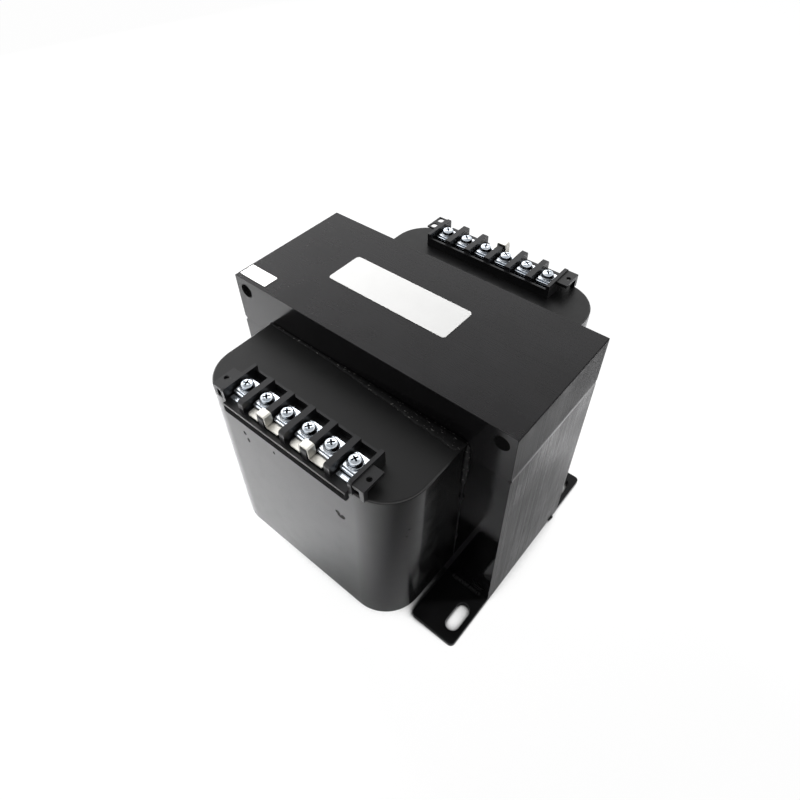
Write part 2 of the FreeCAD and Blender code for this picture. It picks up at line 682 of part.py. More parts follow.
# The lower clamp plate is bent like a shallow saddle, its two ends turned down on the wire.
def lower_clamp():
    body = new_body("lower_clamp_master")
    side = new_sketch(body, "lower_clamp_side", "YZ_Plane")
    middle = "-" + SCREW_Y
    flat = "clamp_length / 2 - 1.5 * clamp_wall"
    draw_outline(side, [
        (middle + " - clamp_length / 2", CLAMP_LOW),
        (middle + " - (%s)" % flat, CLAMP_LOW + " + clamp_lift"),
        (middle + " + (%s)" % flat, CLAMP_LOW + " + clamp_lift"),
        (middle + " + clamp_length / 2", CLAMP_LOW),
        (middle + " + clamp_length / 2", CLAMP_LOW + " + clamp_wall"),
        (middle + " + (%s)" % flat, CLAMP_MID),
        (middle + " - (%s)" % flat, CLAMP_MID),
        (middle + " - clamp_length / 2", CLAMP_LOW + " + clamp_wall"),
    ])
    pad(body, "lower_clamp_sheet", side, "clamp_width", symmetric=True)
    bore = new_sketch(body, "lower_clamp_bore", "XY_Plane", CLAMP_LOW)
    draw_circle(bore, "0", "-" + SCREW_Y, "screw_bore + clamp_bore_play")
    pocket(body, "lower_clamp_hole", bore)
    return body


# The upper clamp plate is a flat washer with rounded corners.
def upper_clamp():
    body = new_body("upper_clamp_master")
    plan = new_sketch(body, "upper_clamp_plan", "XY_Plane", CLAMP_MID)
    half = "(clamp_width / 2 - clamp_step)"
    reach = "(clamp_length / 2 - 2 * clamp_step)"
    middle = "-" + SCREW_Y
    draw_rectangle(plan, "-" + half, half, middle + " - " + reach, middle + " + " + reach)
    pad(body, "upper_clamp_sheet", plan, "clamp_wall")
    round_edges(body, "upper_clamp_corners", "clamp_wall", is_upright)
    bore = new_sketch(body, "upper_clamp_bore", "XY_Plane", CLAMP_MID)
    draw_circle(bore, "0", "-" + SCREW_Y, "screw_bore + clamp_bore_play")
    pocket(body, "upper_clamp_hole", bore)
    return body


# The terminal screw: turned shank, collar and head, with a cross recess.
def terminal_screw():
    body = new_body("terminal_screw_master")
    body.setExpression("Placement.Base.y", formula("-" + SCREW_Y))
    section = new_sketch(body, "screw_section", "XZ_Plane")
    top = "(%s + screw_head_rise)" % COLLAR_TOP
    draw_outline(section, [
        ("0", COIL_TOP + " + screw_tip_gap"),
        ("screw_bore / 2", COIL_TOP + " + screw_tip_gap"),
        ("screw_bore / 2", CLAMP_TOP),
        ("screw_collar / 2", CLAMP_TOP),
        ("screw_collar / 2", COLLAR_TOP),
        ("screw_head / 2", COLLAR_TOP),
        ("screw_head / 2", top + " - screw_head_edge"),
        ("screw_head / 2 - screw_head_edge", top),
        ("0", top),
    ])
    turned = body.newObject("PartDesign::Revolution", "screw_turned")
    turned.Profile = section
    turned.ReferenceAxis = (section, ["V_Axis"])
    turned.Angle = 360
    doc.recompute()
    cross = new_sketch(body, "screw_cross_plan", "XY_Plane", top)
    arm = "recess_length / 2"
    thin = "recess_width / 2"
    draw_outline(cross, [
        ("-" + arm, "-" + thin), ("-" + thin, "-" + thin), ("-" + thin, "-" + arm),
        (thin, "-" + arm), (thin, "-" + thin), (arm, "-" + thin),
        (arm, thin), (thin, thin), (thin, arm),
        ("-" + thin, arm), ("-" + thin, thin), ("-" + arm, thin),
    ])
    pocket(body, "screw_cross", cross, "recess_depth")
    return body


# A jumper link joins two neighbours: a forked tongue under each clamp and a hump between.
def jumper_link(name, gap, turned):
    body = new_body(name)
    shift = value("terminal_pitch") * gap
    place = block_place(turned)
    body.Placement = place.multiply(FreeCAD.Placement(Vector(shift, 0, 0), FreeCAD.Rotation()))
    front = "-(%s - link_play)" % BLOCK_FRONT
    hump_back = "(%s + link_hump_length)" % front
    tongue_back = "(%s + link_tongue_length)" % front
    inside = "(barrier_wall / 2 + link_play)"
    outside = "(%s + link_wall)" % inside
    far = "(terminal_pitch / 2 + link_tongue_half)"
    near = "(terminal_pitch / 2 - link_tongue_half)"
    hump = new_sketch(body, name + "_hump_section", "XZ_Plane", "-(%s)" % hump_back)
    crest = "(%s + link_play)" % RIM
    draw_outline(hump, [
        ("-" + far, PLATE_TOP),
        ("-" + inside, PLATE_TOP),
        ("-" + inside, crest),
        (inside, crest),
        (inside, PLATE_TOP),
        (far, PLATE_TOP),
        (far, PLATE_TOP + " + link_wall"),
        (outside, PLATE_TOP + " + link_wall"),
        (outside, crest + " + link_wall"),
        ("-" + outside, crest + " + link_wall"),
        ("-" + outside, PLATE_TOP + " + link_wall"),
        ("-" + far, PLATE_TOP + " + link_wall"),
    ])
    pad(body, name + "_hump", hump, "link_hump_length")
    plan = new_sketch(body, name + "_tongue_plan", "XY_Plane", PLATE_TOP)
    for sign in ("-", ""):
        draw_rectangle(plan, sign + near, sign + far, hump_back, tongue_back)
    pad(body, name + "_tongues", plan, "link_wall")
    fork = new_sketch(body, name + "_fork_plan", "XY_Plane", PLATE_TOP)
    reach = "(%s + %s)" % (tongue_back, SCREW_Y)
    for sign in ("-", ""):
        across = sign + "terminal_pitch / 2"
        middle = "-%s + %s" % (SCREW_Y, reach)
        draw_slot(fork, across, middle, "2 * " + reach, "screw_bore + clamp_bore_play")
    pocket(body, name + "_forks", fork, "link_wall + link_play")
    return body


# Label and sticker are thin sheets on top of the core.
def paper(name, left, right, low, high, corner):
    body = new_body(name)
    plan = new_sketch(body, name + "_plan", "XY_Plane", CORE_TOP)
    draw_rectangle(plan, left, right, low, high)
    pad(body, name + "_sheet", plan, "paper_wall")
    round_edges(body, name + "_corners", corner, is_upright)
    return body


parts = []
HOLE_LOW = "foot_thickness + corner_hole_inset"
HOLE_HIGH = CORE_TOP + " - corner_hole_inset"
parts.append(core_stack("core_e_stack", E_CORNERS, HOLE_LOW))
parts.append(core_stack("core_i_stack", I_CORNERS, HOLE_HIGH))
parts.append(seam_weld("seam_weld_left", "-"))
parts.append(seam_weld("seam_weld_right", ""))
parts.append(foot("foot_left", "-"))
parts.append(foot("foot_right", ""))
parts.append(foot_welds("foot_weld_beads"))

WIRE = (WIRE_X, WIRE_Y)
FORMER_IN = (FORMER_X, FORMER_Y)
LAYER_IN = (LAYER_X, LAYER_Y)
LAYER_OUT = (OUTER_X, OUTER_Y)
COIL_OUT = (COIL_X, COIL_Y)
parts.append(ring("coil_former", WIRE, FORMER_IN, FORMER_LOW, FORMER_TALL))
parts.append(ring("inner_winding", LAYER_IN, WIRE, WIRE_LOW, WIRE_TALL, WIRE_RADII[1]))
parts.append(ring("winding_insulation", LAYER_OUT, LAYER_IN, WIRE_LOW, WIRE_TALL,
                  WIRE_RADII[2], WIRE_RADII[1]))
parts.append(ring("outer_winding", COIL_OUT, LAYER_OUT, WIRE_LOW, WIRE_TALL,
                  WIRE_RADII[3], WIRE_RADII[2]))

front_leads = leads("lead_wires_front", False)
rear_leads = leads("lead_wires_rear", True)
parts.append(front_leads)
parts.append(rear_leads)

resin = coil_casting("coil_casting")
cavity = coil_cavity("coil_cavity")
tools = doc.addObject("Part::Compound", "coil_tools")
tools.Links = [cavity, front_leads, rear_leads]
casting = doc.addObject("Part::Cut", "coil_casting")
casting.Label = "coil_casting"
casting.Base = resin
casting.Tool = tools
parts.append(casting)

masters = [
    ("terminal_plates", terminal_plate()),
    ("lower_clamps", lower_clamp()),
    ("upper_clamps", upper_clamp()),
    ("terminal_screws", terminal_screw()),
]
for end, turned in (("front", False), ("rear", True)):
    parts.append(terminal_block("terminal_block_" + end, turned))
    for name, master in masters:
        parts.append(terminal_row("%s_%s" % (name, end), master, turned))

# Front links join terminals 2 to 3 and 4 to 5, the rear link joins 3 to 4.
parts.append(jumper_link("jumper_link_front_left", -1, False))
parts.append(jumper_link("jumper_link_front_right", 1, False))
parts.append(jumper_link("jumper_link_rear", 0, True))

LABEL_LOW = "label_shift - label_width / 2"
LABEL_HIGH = "label_shift + label_width / 2"
parts.append(paper("rating_label", "-label_left", "label_length - label_left",
                   LABEL_LOW, LABEL_HIGH, "label_corner"))
STICKER_LEFT = "sticker_inset - %s" % CORE_HALF
STICKER_LOW = "sticker_front - %s" % CORE_FRONT
parts.append(paper("small_sticker", STICKER_LEFT, STICKER_LEFT + " + sticker_length",
                   STICKER_LOW, STICKER_LOW + " + sticker_width", "sticker_corner"))

doc.recompute()
for item in doc.Objects:
    if "Invalid" in item.State or "Error" in item.State:
        raise ValueError("%s failed: %s" % (item.Label, item.State))
for part in parts:
    if part.Shape.isNull() or not part.Shape.isValid():
        raise ValueError("%s has no valid shape" % part.Label)

os.makedirs("parts", exist_ok=True)
for part in parts:
    part.Shape.exportStep(os.path.join("parts", part.Label + ".step"))
    print("%-26s %2d solids %11.1f mm3" % (part.Label, len(part.Shape.Solids), part.Shape.Volume))
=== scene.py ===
import math
import random

import bmesh
import bpy
from mathutils import Matrix, Vector
from mathutils.geometry import tessellate_polygon

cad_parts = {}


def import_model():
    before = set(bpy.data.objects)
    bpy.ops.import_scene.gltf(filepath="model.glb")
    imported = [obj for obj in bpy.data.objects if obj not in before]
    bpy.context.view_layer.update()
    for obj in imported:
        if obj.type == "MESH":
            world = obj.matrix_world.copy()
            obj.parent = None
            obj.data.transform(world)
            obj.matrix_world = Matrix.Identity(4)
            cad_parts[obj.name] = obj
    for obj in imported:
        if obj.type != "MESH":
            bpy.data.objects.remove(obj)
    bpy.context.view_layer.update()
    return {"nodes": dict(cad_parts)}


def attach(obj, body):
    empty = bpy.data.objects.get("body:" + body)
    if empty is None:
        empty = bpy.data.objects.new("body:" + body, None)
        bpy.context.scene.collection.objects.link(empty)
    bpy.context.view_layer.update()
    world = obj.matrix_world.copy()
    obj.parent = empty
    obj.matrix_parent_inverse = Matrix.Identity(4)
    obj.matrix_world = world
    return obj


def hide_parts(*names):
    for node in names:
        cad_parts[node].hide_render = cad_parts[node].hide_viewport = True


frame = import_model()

# All sizes are in millimetres until a mesh is written, in the CAD's own frame: X along the
# core, Y to the back, Z up, the soles of the feet on Z = 0.
MM = 0.001

# The core. The seam is where the I sheets sit on the E sheets, and a limb is a leg of an E.
CORE_HALF = 85.725
STACK_HALF = 37.85
CORE_LOW = 3.2
CORE_TOP = 146.075
SEAM = 117.5
LIMB = 28.575
GROOVE = 1.4
WELD_GAP = 0.8
BOLT_RADIUS = 3.95
BOLT_X = 78.585
BOLT_Z = (10.34, 138.935)
SHEET = 0.5
SHEETS = 151
# The share of its thickness that a sheet fills, so that it doesn't touch the next.
SHEET_FILL = 0.994

# The feet and the fillets that hold them.
FOOT_ENDS = (-71.0, 66.0)
FOOT_IN = 57.725
FOOT_THICK = 3.2
FOOT_CORNER = 2.6
SLOT_X = 78.775
SLOT_INSET = 14.7
SLOT_SIZE = (7.9, 17.5)
FILLET_LONG = 16.8
FILLET_DROPS = 15

# The casting. It is drafted: wider and nearer at one end than at the other.
CAST_LOW = 23.3375
CAST_TOP = 125.9375
CAST_WIDE_TOP = 63.1
CAST_WIDE_LOW = 60.8
CAST_REACH_TOP = 87.6
CAST_REACH_LOW = 90.6
CAST_CORNER = 21.3
CAST_RIM = 1.2
# The resin bars through the core's windows: inner and outer X, low and high Z.
BAR = (28.8, 56.9, 32.0, 117.3)

# The terminal blocks. The rear one is the front one turned half round, and the row of screws
# is shifted along the block's own X.
ROW_SHIFT = 1.6
PITCH = 13.45
TERMINALS = 6
SCREW_Y = 78.55
BLOCK_HALF = 40.65
BLOCK_EDGE = 0.28
# The black band of painted shade under each block's lip: its X and Z, then its Y.
LIP_SHADOW_STRIP = (-38.3, 38.3, 121.8, 126.0)
LIP_SHADOW_STRIP_Y = (90.1, 90.56)
EAR_WIDE = 6.2
EAR_LONG = 12.7
EAR_Y = 81.8
EAR_TOP = 133.1375
EAR_WEB = 0.9
# The rims round the ear's openings: left, right, at the ends and on each side of the middle.
EAR_RIMS = (1.2, 1.7, 1.0, 1.4)

# The hardware under a screw: low and high Z of the plates, and a link's levels.
PLATE_Z = (127.44, 128.43)
LOWER_CLAMP_Z = (129.4, 130.5)
UPPER_CLAMP_Z = (130.56, 131.36)
LINK_Z = 128.4375
LINK_TOP = 135.1375
LINK_THICK = 0.8
LINK_HALF = 10.025
# A link's inner edge, the end of its neck and its outer edge, from the core's middle.
LINK_Y = (76.15, 84.15, 88.35)


# Small tools.
def linear(code):
    """An sRGB hex colour as the linear colour that a shader takes."""
    parts = [int(code[i:i + 2], 16) / 255 for i in (1, 3, 5)]
    return (*[c / 12.92 if c <= 0.04045 else ((c + 0.055) / 1.055) ** 2.4 for c in parts], 1)


def node(tree, kind, links=None, **settings):
    """Adds a node, gives it its settings, and fills each named input with a link or a value."""
    made = tree.nodes.new(kind)
    for key, choice in settings.items():
        setattr(made, key, choice)
    for key, source in (links or {}).items():
        if isinstance(source, bpy.types.NodeSocket):
            tree.links.new(source, made.inputs[key])
        else:
            made.inputs[key].default_value = source
    return made


def new_object(name, data):
    made = bpy.data.objects.new(name, data)
    bpy.context.scene.collection.objects.link(made)
    return made


def applied(obj):
    """The object with its modifiers worked into a plain mesh."""
    graph = bpy.context.evaluated_depsgraph_get()
    mesh = bpy.data.meshes.new_from_object(obj.evaluated_get(graph))
    old = obj.data
    obj.modifiers.clear()
    obj.data = mesh
    mesh.name = obj.name
    bpy.data.meshes.remove(old)
    return obj


def modify(obj, kind, **settings):
    """The object with one modifier worked into its mesh."""
    modifier = obj.modifiers.new(kind.lower(), kind)
    for key, choice in settings.items():
        setattr(modifier, key, choice)
    return applied(obj)


def soften(obj, angle):
    """Smooth shading that stops at edges sharper than the angle, led by the large faces."""
    obj.data.shade_smooth()
    obj.data.set_sharp_from_angle(angle=math.radians(angle))
    return modify(obj, "WEIGHTED_NORMAL", keep_sharp=True)


def as_drawn(name, bm):
    """A bmesh as an object, and the bmesh freed."""
    mesh = bpy.data.meshes.new(name)
    bm.to_mesh(mesh)
    bm.free()
    return new_object(name, mesh)


def from_bmesh(name, bm, scale=MM):
    """Closes a bmesh drawn in millimetres into an object in metres, with its faces outwards."""
    bmesh.ops.remove_doubles(bm, verts=bm.verts, dist=1e-4)
    bmesh.ops.recalc_face_normals(bm, faces=bm.faces)
    bmesh.ops.scale(bm, verts=bm.verts, vec=(scale,) * 3)
    return as_drawn(name, bm)


def cut(bm, at, dist, way=1, clear=False):
    """Cuts a bmesh across X, and clears what lies on the side of the way."""
    everything = list(bm.verts) + list(bm.edges) + list(bm.faces)
    bmesh.ops.bisect_plane(bm, geom=everything, dist=dist, plane_co=(at, 0, 0),
                           plane_no=(way, 0, 0), clear_outer=clear)


def settle(obj, material, slot, *nodes):
    """Gives a finished piece its material and its body, and hides the CAD nodes it stands for. The
    slot is not used.
    """
    obj.data.materials.clear()
    obj.data.materials.append(material)
    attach(obj, "root")
    if nodes:
        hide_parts(*nodes)


# Outlines and solids.
def arc(centre, radius, start, end, steps):
    """Points on an arc, with the angles in degrees."""
    found = []
    for i in range(steps + 1):
        turn = math.radians(start + (end - start) * i / steps)
        found.append((centre[0] + radius * math.cos(turn), centre[1] + radius * math.sin(turn)))
    return found


def rounded(left, right, low, high, radius, steps=5):
    """A rectangle with round corners, anticlockwise."""
    left, right, low, high = left + radius, right - radius, low + radius, high - radius
    found = []
    for x, y, start in ((left, low, 180), (right, low, 270), (right, high, 0), (left, high, 90)):
        found += arc((x, y), radius, start, start + 90, steps)
    return found


def circle(centre, radius, steps=24):
    return arc(centre, radius, 0, 360, steps)[:-1]


def inset(loop, distance):
    """Moves a loop towards its left, which is into the metal of what it bounds."""
    moved = []
    for i, point in enumerate(loop):
        here = Vector(point)
        into = (here - Vector(loop[i - 1])).normalized()
        out = (Vector(loop[(i + 1) % len(loop)]) - here).normalized()
        left_in = Vector((-into.y, into.x))
        left_out = Vector((-out.y, out.x))
        mitre = (left_in + left_out) / max(0.3, 1 + left_in.dot(left_out))
        moved.append(tuple(here + mitre * distance))
    return moved


def rounding(low, high, edge, steps):
    """Heights and insets that round the two rims of a solid."""
    turns = [math.pi / 2 * i / steps for i in range(steps + 1)]
    below = [(low + edge * (1 - math.cos(t)), edge * (1 - math.sin(t))) for t in turns]
    above = [(high - edge * (1 - math.cos(t)), edge * (1 - math.sin(t))) for t in reversed(turns)]
    return below + above


def join_rings(bm, rings):
    """Quads between each ring of vertices and the next."""
    for first, second in zip(rings, rings[1:]):
        for i in range(len(first)):
            bm.faces.new((first[i - 1], first[i], second[i], second[i - 1]))


def slab(bm, outline, low, high, edge, holes=(), place=Matrix.Identity(4), steps=2):
    """A plate of this outline, with holes, from one level to another, and its rims rounded."""
    loops = [list(outline)] + [list(reversed(hole)) for hole in holes]
    levels = rounding(low, high, edge, steps)
    ends = ([], [])
    for loop in loops:
        rings = []
        for height, depth in levels:
            points = inset(loop, depth) if depth > 1e-6 else loop
            rings.append([bm.verts.new(place @ Vector((*p, height))) for p in points])
        join_rings(bm, rings)
        ends[0].append(rings[0])
        ends[1].append(rings[-1])
    for group in ends:
        flat = [[place.inverted() @ v.co for v in ring] for ring in group]
        flat = [[Vector((p.x, p.y, 0)) for p in ring] for ring in flat]
        corners = [v for ring in group for v in ring]
        for triangle in tessellate_polygon(flat):
            bm.faces.new([corners[i] for i in triangle])


def turned(bm, profile, steps):
    """A solid of revolution about an upright axis: (radius, height) from one pole to the other."""
    rings = []
    for radius, height in profile:
        points = circle((0, 0), radius, steps) if radius > 1e-6 else [(0, 0)]
        rings.append([bm.verts.new((*p, height)) for p in points])
    for first, second in zip(rings, rings[1:]):
        for i in range(steps):
            corners = [first[(i - 1) % len(first)], first[i % len(first)]]
            corners += [second[i % len(second)], second[(i - 1) % len(second)]]
            bm.faces.new(list(dict.fromkeys(corners)))


def loft(bm, sections):
    """A closed solid through sections with the same number of points, its two ends filled."""
    rings = [[bm.verts.new(p) for p in section] for section in sections]
    join_rings(bm, rings)
    bm.faces.new(rings[0])
    bm.faces.new(rings[-1])


def ease(t):
    """0 to 1 with a slow start and a slow end."""
    return t * t * (3 - 2 * t)


def smooth_walk(count, seed, knots):
    """A slow seeded wander between -1 and 1, for what was laid by hand."""
    draw = random.Random(seed)
    heights = [draw.uniform(-1, 1) for _ in range(knots + 3)]
    found = []
    for i in range(count):
        at = i / max(1, count - 1) * knots
        k = int(at)
        t = ease(at - k)
        found.append(heights[k] * (1 - t) + heights[k + 1] * t)
    return found


# Rows of copies, by Geometry Nodes.
def vectors(tree, operation, first, second):
    """The result of one operation on two vectors."""
    return node(tree, "ShaderNodeVectorMath", {0: first, 1: second}, operation=operation).outputs[0]


def row_tree():
    """A straight row of copies of a master, each shifted and turned a little by a seed."""
    tree = bpy.data.node_groups.new("row_of_copies", "GeometryNodeTree")
    for kind, names in (
        ("Int", ("Count", "Seed")),
        ("Vector", ("First", "Step", "Shift", "Turn", "Spread")),
        ("Object", ("Master",)),
        ("Material", ("Finish",)),
    ):
        for name in names:
            tree.interface.new_socket(name=name, in_out="INPUT", socket_type="NodeSocket" + kind)
    tree.interface.new_socket(name="Geometry", in_out="OUTPUT", socket_type="NodeSocketGeometry")
    given = node(tree, "NodeGroupInput").outputs
    line = node(tree, "GeometryNodeMeshLine", {
        "Count": given["Count"], "Start Location": given["First"], "Offset": given["Step"],
    }, mode="OFFSET")
    master = node(tree, "GeometryNodeObjectInfo", {"Object": given["Master"]})
    low_turn = vectors(tree, "SUBTRACT", given["Turn"], given["Spread"])
    high_turn = vectors(tree, "ADD", given["Turn"], given["Spread"])
    low_shift = vectors(tree, "MULTIPLY", given["Shift"], (-1, -1, -1))
    spin, drift = (
        node(tree, "FunctionNodeRandomValue", {"Min": low, "Max": high, "Seed": given["Seed"]},
             data_type="FLOAT_VECTOR").outputs["Value"]
        for low, high in ((low_turn, high_turn), (low_shift, given["Shift"]))
    )
    copies = node(tree, "GeometryNodeInstanceOnPoints", {
        "Points": line.outputs["Mesh"], "Instance": master.outputs["Geometry"], "Rotation": spin,
    })
    moved = node(tree, "GeometryNodeTranslateInstances", {
        "Instances": copies.outputs["Instances"], "Translation": drift, "Local Space": False,
    })
    real = node(tree, "GeometryNodeRealizeInstances", {"Geometry": moved.outputs["Instances"]})
    finish = node(tree, "GeometryNodeSetMaterial", {
        "Geometry": real.outputs["Geometry"], "Material": given["Finish"],
    })
    node(tree, "NodeGroupOutput", {"Geometry": finish.outputs["Geometry"]})
    return tree


ROW = row_tree()


def row(name, master, count, first, step, material, shift=(0, 0, 0), turn=(0, 0, 0),
        spread=(0, 0, 0), seed=1):
    """One row of a master as a plain mesh. Places are in mm and turns in degrees."""
    made = new_object(name, bpy.data.meshes.new(name))
    modifier = made.modifiers.new("row", "NODES")
    modifier.node_group = ROW
    sizes = {"Count": count, "Seed": seed, "Master": master, "Finish": material}
    sizes.update({key: [c * MM for c in size] for key, size in (
        ("First", first), ("Step", step), ("Shift", shift))})
    sizes.update({key: [math.radians(c) for c in size] for key, size in (
        ("Turn", turn), ("Spread", spread))})
    for socket in ROW.interface.items_tree:
        if socket.in_out == "INPUT":
            modifier[socket.identifier] = sizes[socket.name]
    return applied(made)


def drop(obj):
    """Removes a helper object and its mesh."""
    mesh = obj.data
    bpy.data.objects.remove(obj)
    bpy.data.meshes.remove(mesh)


def joined(name, objects):
    """One plain mesh out of several."""
    bm = bmesh.new()
    for obj in objects:
        bm.from_mesh(obj.data)
        drop(obj)
    return as_drawn(name, bm)


# Materials.
def empty_tree(owner):
    """The node tree of a material or a world, with nothing in it."""
    owner.use_nodes = True
    owner.node_tree.nodes.clear()
    return owner.node_tree


def new_material(name):
    material = bpy.data.materials.new(name)
    tree = empty_tree(material)
    place = node(tree, "ShaderNodeTexCoord").outputs["Object"]
    return material, tree, place


def shade(tree, **sockets):
    """The Principled shader of a material, fed by values and links."""
    named = {key.replace("_", " ").title(): source for key, source in sockets.items()}
    named = {key.replace("Ior", "IOR"): source for key, source in named.items()}
    shader = node(tree, "ShaderNodeBsdfPrincipled", named)
    node(tree, "ShaderNodeOutputMaterial", {"Surface": shader.outputs["BSDF"]})


def noise(tree, place, size, detail=3, rough=0.5, stretch=None):
    """A soft random pattern whose features are about this many millimetres across."""
    if stretch:
        place = node(tree, "ShaderNodeMapping", {"Vector": place, "Scale": stretch}).outputs[0]
    return node(tree, "ShaderNodeTexNoise", {
        "Vector": place, "Scale": 1 / (size * MM), "Detail": detail, "Roughness": rough,
    }).outputs["Fac"]


def span(tree, fac, low, high, start=0.3, stop=0.7, kind="LINEAR"):
    """Turns the middle of a pattern into a number between two values."""
    return node(tree, "ShaderNodeMapRange", {
        "Value": fac, "From Min": start, "From Max": stop, "To Min": low, "To Max": high,
    }, interpolation_type=kind).outputs["Result"]


def maths(tree, operation, *values, clamp=False):
    """The result of one operation on values and links."""
    links = dict(enumerate(values))
    return node(tree, "ShaderNodeMath", links, operation=operation, use_clamp=clamp).outputs[0]


def blend(tree, share, first, second):
    """A colour that goes from the first to the second as the share goes from 0 to 1."""
    return node(tree, "ShaderNodeMix", {"Factor": share, 6: first, 7: second},
                data_type="RGBA").outputs[2]


def colours(tree, fac, first, second):
    """A colour between two, by a pattern."""
    ramp = node(tree, "ShaderNodeValToRGB", {"Fac": fac})
    for mark, at, code in zip(ramp.color_ramp.elements, (0.3, 0.7), (first, second)):
        mark.position = at
        mark.color = linear(code)
    return ramp.outputs["Color"]


def bump(tree, height, depth, under=None):
    """A relief this many millimetres deep, over another relief if there is one."""
    links = {"Height": height, "Distance": depth * MM, "Strength": 1.0}
    if under:
        links["Normal"] = under
    return node(tree, "ShaderNodeBump", links).outputs["Normal"]


def part_of(tree, place, axis):
    return node(tree, "ShaderNodeSeparateXYZ", {0: place}).outputs[axis]


def axis_share(tree, place, axis, level):
    """1 where the distance from the middle along an axis is past the level, in mm, and else 0."""
    away = maths(tree, "ABSOLUTE", part_of(tree, place, axis))
    return span(tree, away, 0.0, 1.0, (level - 0.1) * MM, (level + 0.1) * MM)


def varnished_steel(name, dark, pale, rough, streak, end_rough):
    """Silicon steel sheets, stacked, dipped in insulating varnish and baked. The varnish gives
    a near-black skin with a soft gloss, cloudy where it ran. Each sheet edge takes it a little
    differently, which leaves streaks along the sheets; the open face of the first sheet is
    smooth."""
    material, tree, place = new_material(name)
    cloud = noise(tree, place, 22, detail=4)
    # Sheets are 0.5 mm thick; bands of two or three sheets are as fine as the render can show.
    sheets = noise(tree, place, 1.3, detail=2, stretch=(0.015, 1, 0.015))
    pooled = noise(tree, place, 5)
    gloss = maths(tree, "ADD", span(tree, cloud, -0.06, 0.06), span(tree, sheets, -streak, streak))
    gloss = maths(tree, "ADD", gloss, rough)
    open_face = axis_share(tree, place, "Y", STACK_HALF - 0.15)
    level = span(tree, open_face, 0.5, 0.32, 0.0, 1.0)
    gloss = maths(tree, "MULTIPLY_ADD", open_face, -0.12, gloss)
    ends = axis_share(tree, place, "X", CORE_HALF - 0.3)
    # The corner of the sheets at the very top is worn dull.
    corner = axis_share(tree, place, "Z", CORE_TOP - 0.8)
    dull = maths(tree, "MULTIPLY_ADD", corner, 0.6, end_rough)
    gloss = maths(tree, "MULTIPLY_ADD", ends, dull, gloss)
    relief = bump(tree, pooled, 0.008, bump(tree, sheets, streak * 0.1))
    shade(tree, base_color=colours(tree, cloud, dark, pale), roughness=gloss, normal=relief,
          ior=1.5, specular_ior_level=level)
    return material


def seam_steel():
    """The long weld under the varnish: black like the sheets beside it, with a thin pale line along
    its crown, a painted highlight where the edge catches light."""
    material, tree, place = new_material("rubbed_weld_crown")
    away = maths(tree, "SUBTRACT", part_of(tree, place, "Z"), SEAM * MM)
    away = maths(tree, "ABSOLUTE", away)
    crown = span(tree, away, 1.0, 0.0, 0.2 * MM, 0.6 * MM)
    grain = noise(tree, place, 2.0, detail=4)
    # Painted highlight: a pale, metallic line along the crown stands in for light caught at the
    # edge of the seam.
    wear_and_highlight = maths(tree, "MULTIPLY", crown, span(tree, grain, 0.08, 0.42))
    shown = blend(tree, wear_and_highlight, linear("#0A0A0B"), linear("#A9A8AA"))
    shade(tree, base_color=shown, metallic=wear_and_highlight, roughness=span(tree, grain, 0.24, 0.36), ior=1.5)
    return material


def epoxy_casting(marks):
    """Black epoxy resin, cast in a smooth mould. Glossy and almost without colour of its own, so
    it shows the floor in its face; slight flow waves, rubbed patches and a few chips."""
    material, tree, place = new_material("cast_epoxy_resin")
    flow = noise(tree, place, 30)
    skin = noise(tree, place, 2.2)
    wear_and_highlight = noise(tree, place, 9, detail=5, rough=0.62)
    # The top was the open face of the pour, so it is duller than the moulded sides.
    up = part_of(tree, place, "Z")
    poured = span(tree, up, 0.0, 0.22, (CAST_TOP - 0.6) * MM, (CAST_TOP - 0.1) * MM)
    rough = maths(tree, "ADD", span(tree, wear_and_highlight, 0.14, 0.24), poured)
    base = colours(tree, wear_and_highlight, "#020203", "#070708")
    for centre, half, tone in marks:
        spot = node(tree, "ShaderNodeMapping", {
            "Vector": place,
            "Location": [c * MM for c in centre],
            "Scale": [h * MM for h in half],
        }, vector_type="TEXTURE").outputs[0]
        away = node(tree, "ShaderNodeVectorMath", {0: spot}, operation="LENGTH").outputs["Value"]
        share = span(tree, away, 1.0, 0.0, 0.75, 1.1)
        rough = maths(tree, "MULTIPLY_ADD", share, 0.6, rough)
        base = blend(tree, share, base, linear(tone))
    relief = bump(tree, skin, 0.003, bump(tree, flow, 0.03))
    shade(tree, base_color=base, roughness=rough, normal=relief, ior=1.58)
    return material


def bead_resin():
    """The same epoxy, run along the joint by hand: lumpy and dull, with a few pale flecks that are
    painted glints.
    """
    material, tree, place = new_material("hand_laid_epoxy")
    lump = noise(tree, place, 2.5, detail=4, rough=0.6)
    crumb = noise(tree, place, 0.8, rough=0.7)
    # Painted glints: sparse pale flecks stand in for light sparkling off the lumps.
    painted_glint = noise(tree, place, 0.8, detail=1, stretch=(0.4, 1, 0.6))
    painted_glint = span(tree, painted_glint, 0.0, 1.0, 0.65, 0.72)
    shown = blend(tree, painted_glint, colours(tree, lump, "#050506", "#0C0C0D"), linear("#8E8D8A"))
    shade(tree, base_color=shown, roughness=span(tree, lump, 0.42, 0.62),
          normal=bump(tree, crumb, 0.16), specular_ior_level=0.25)
    return material


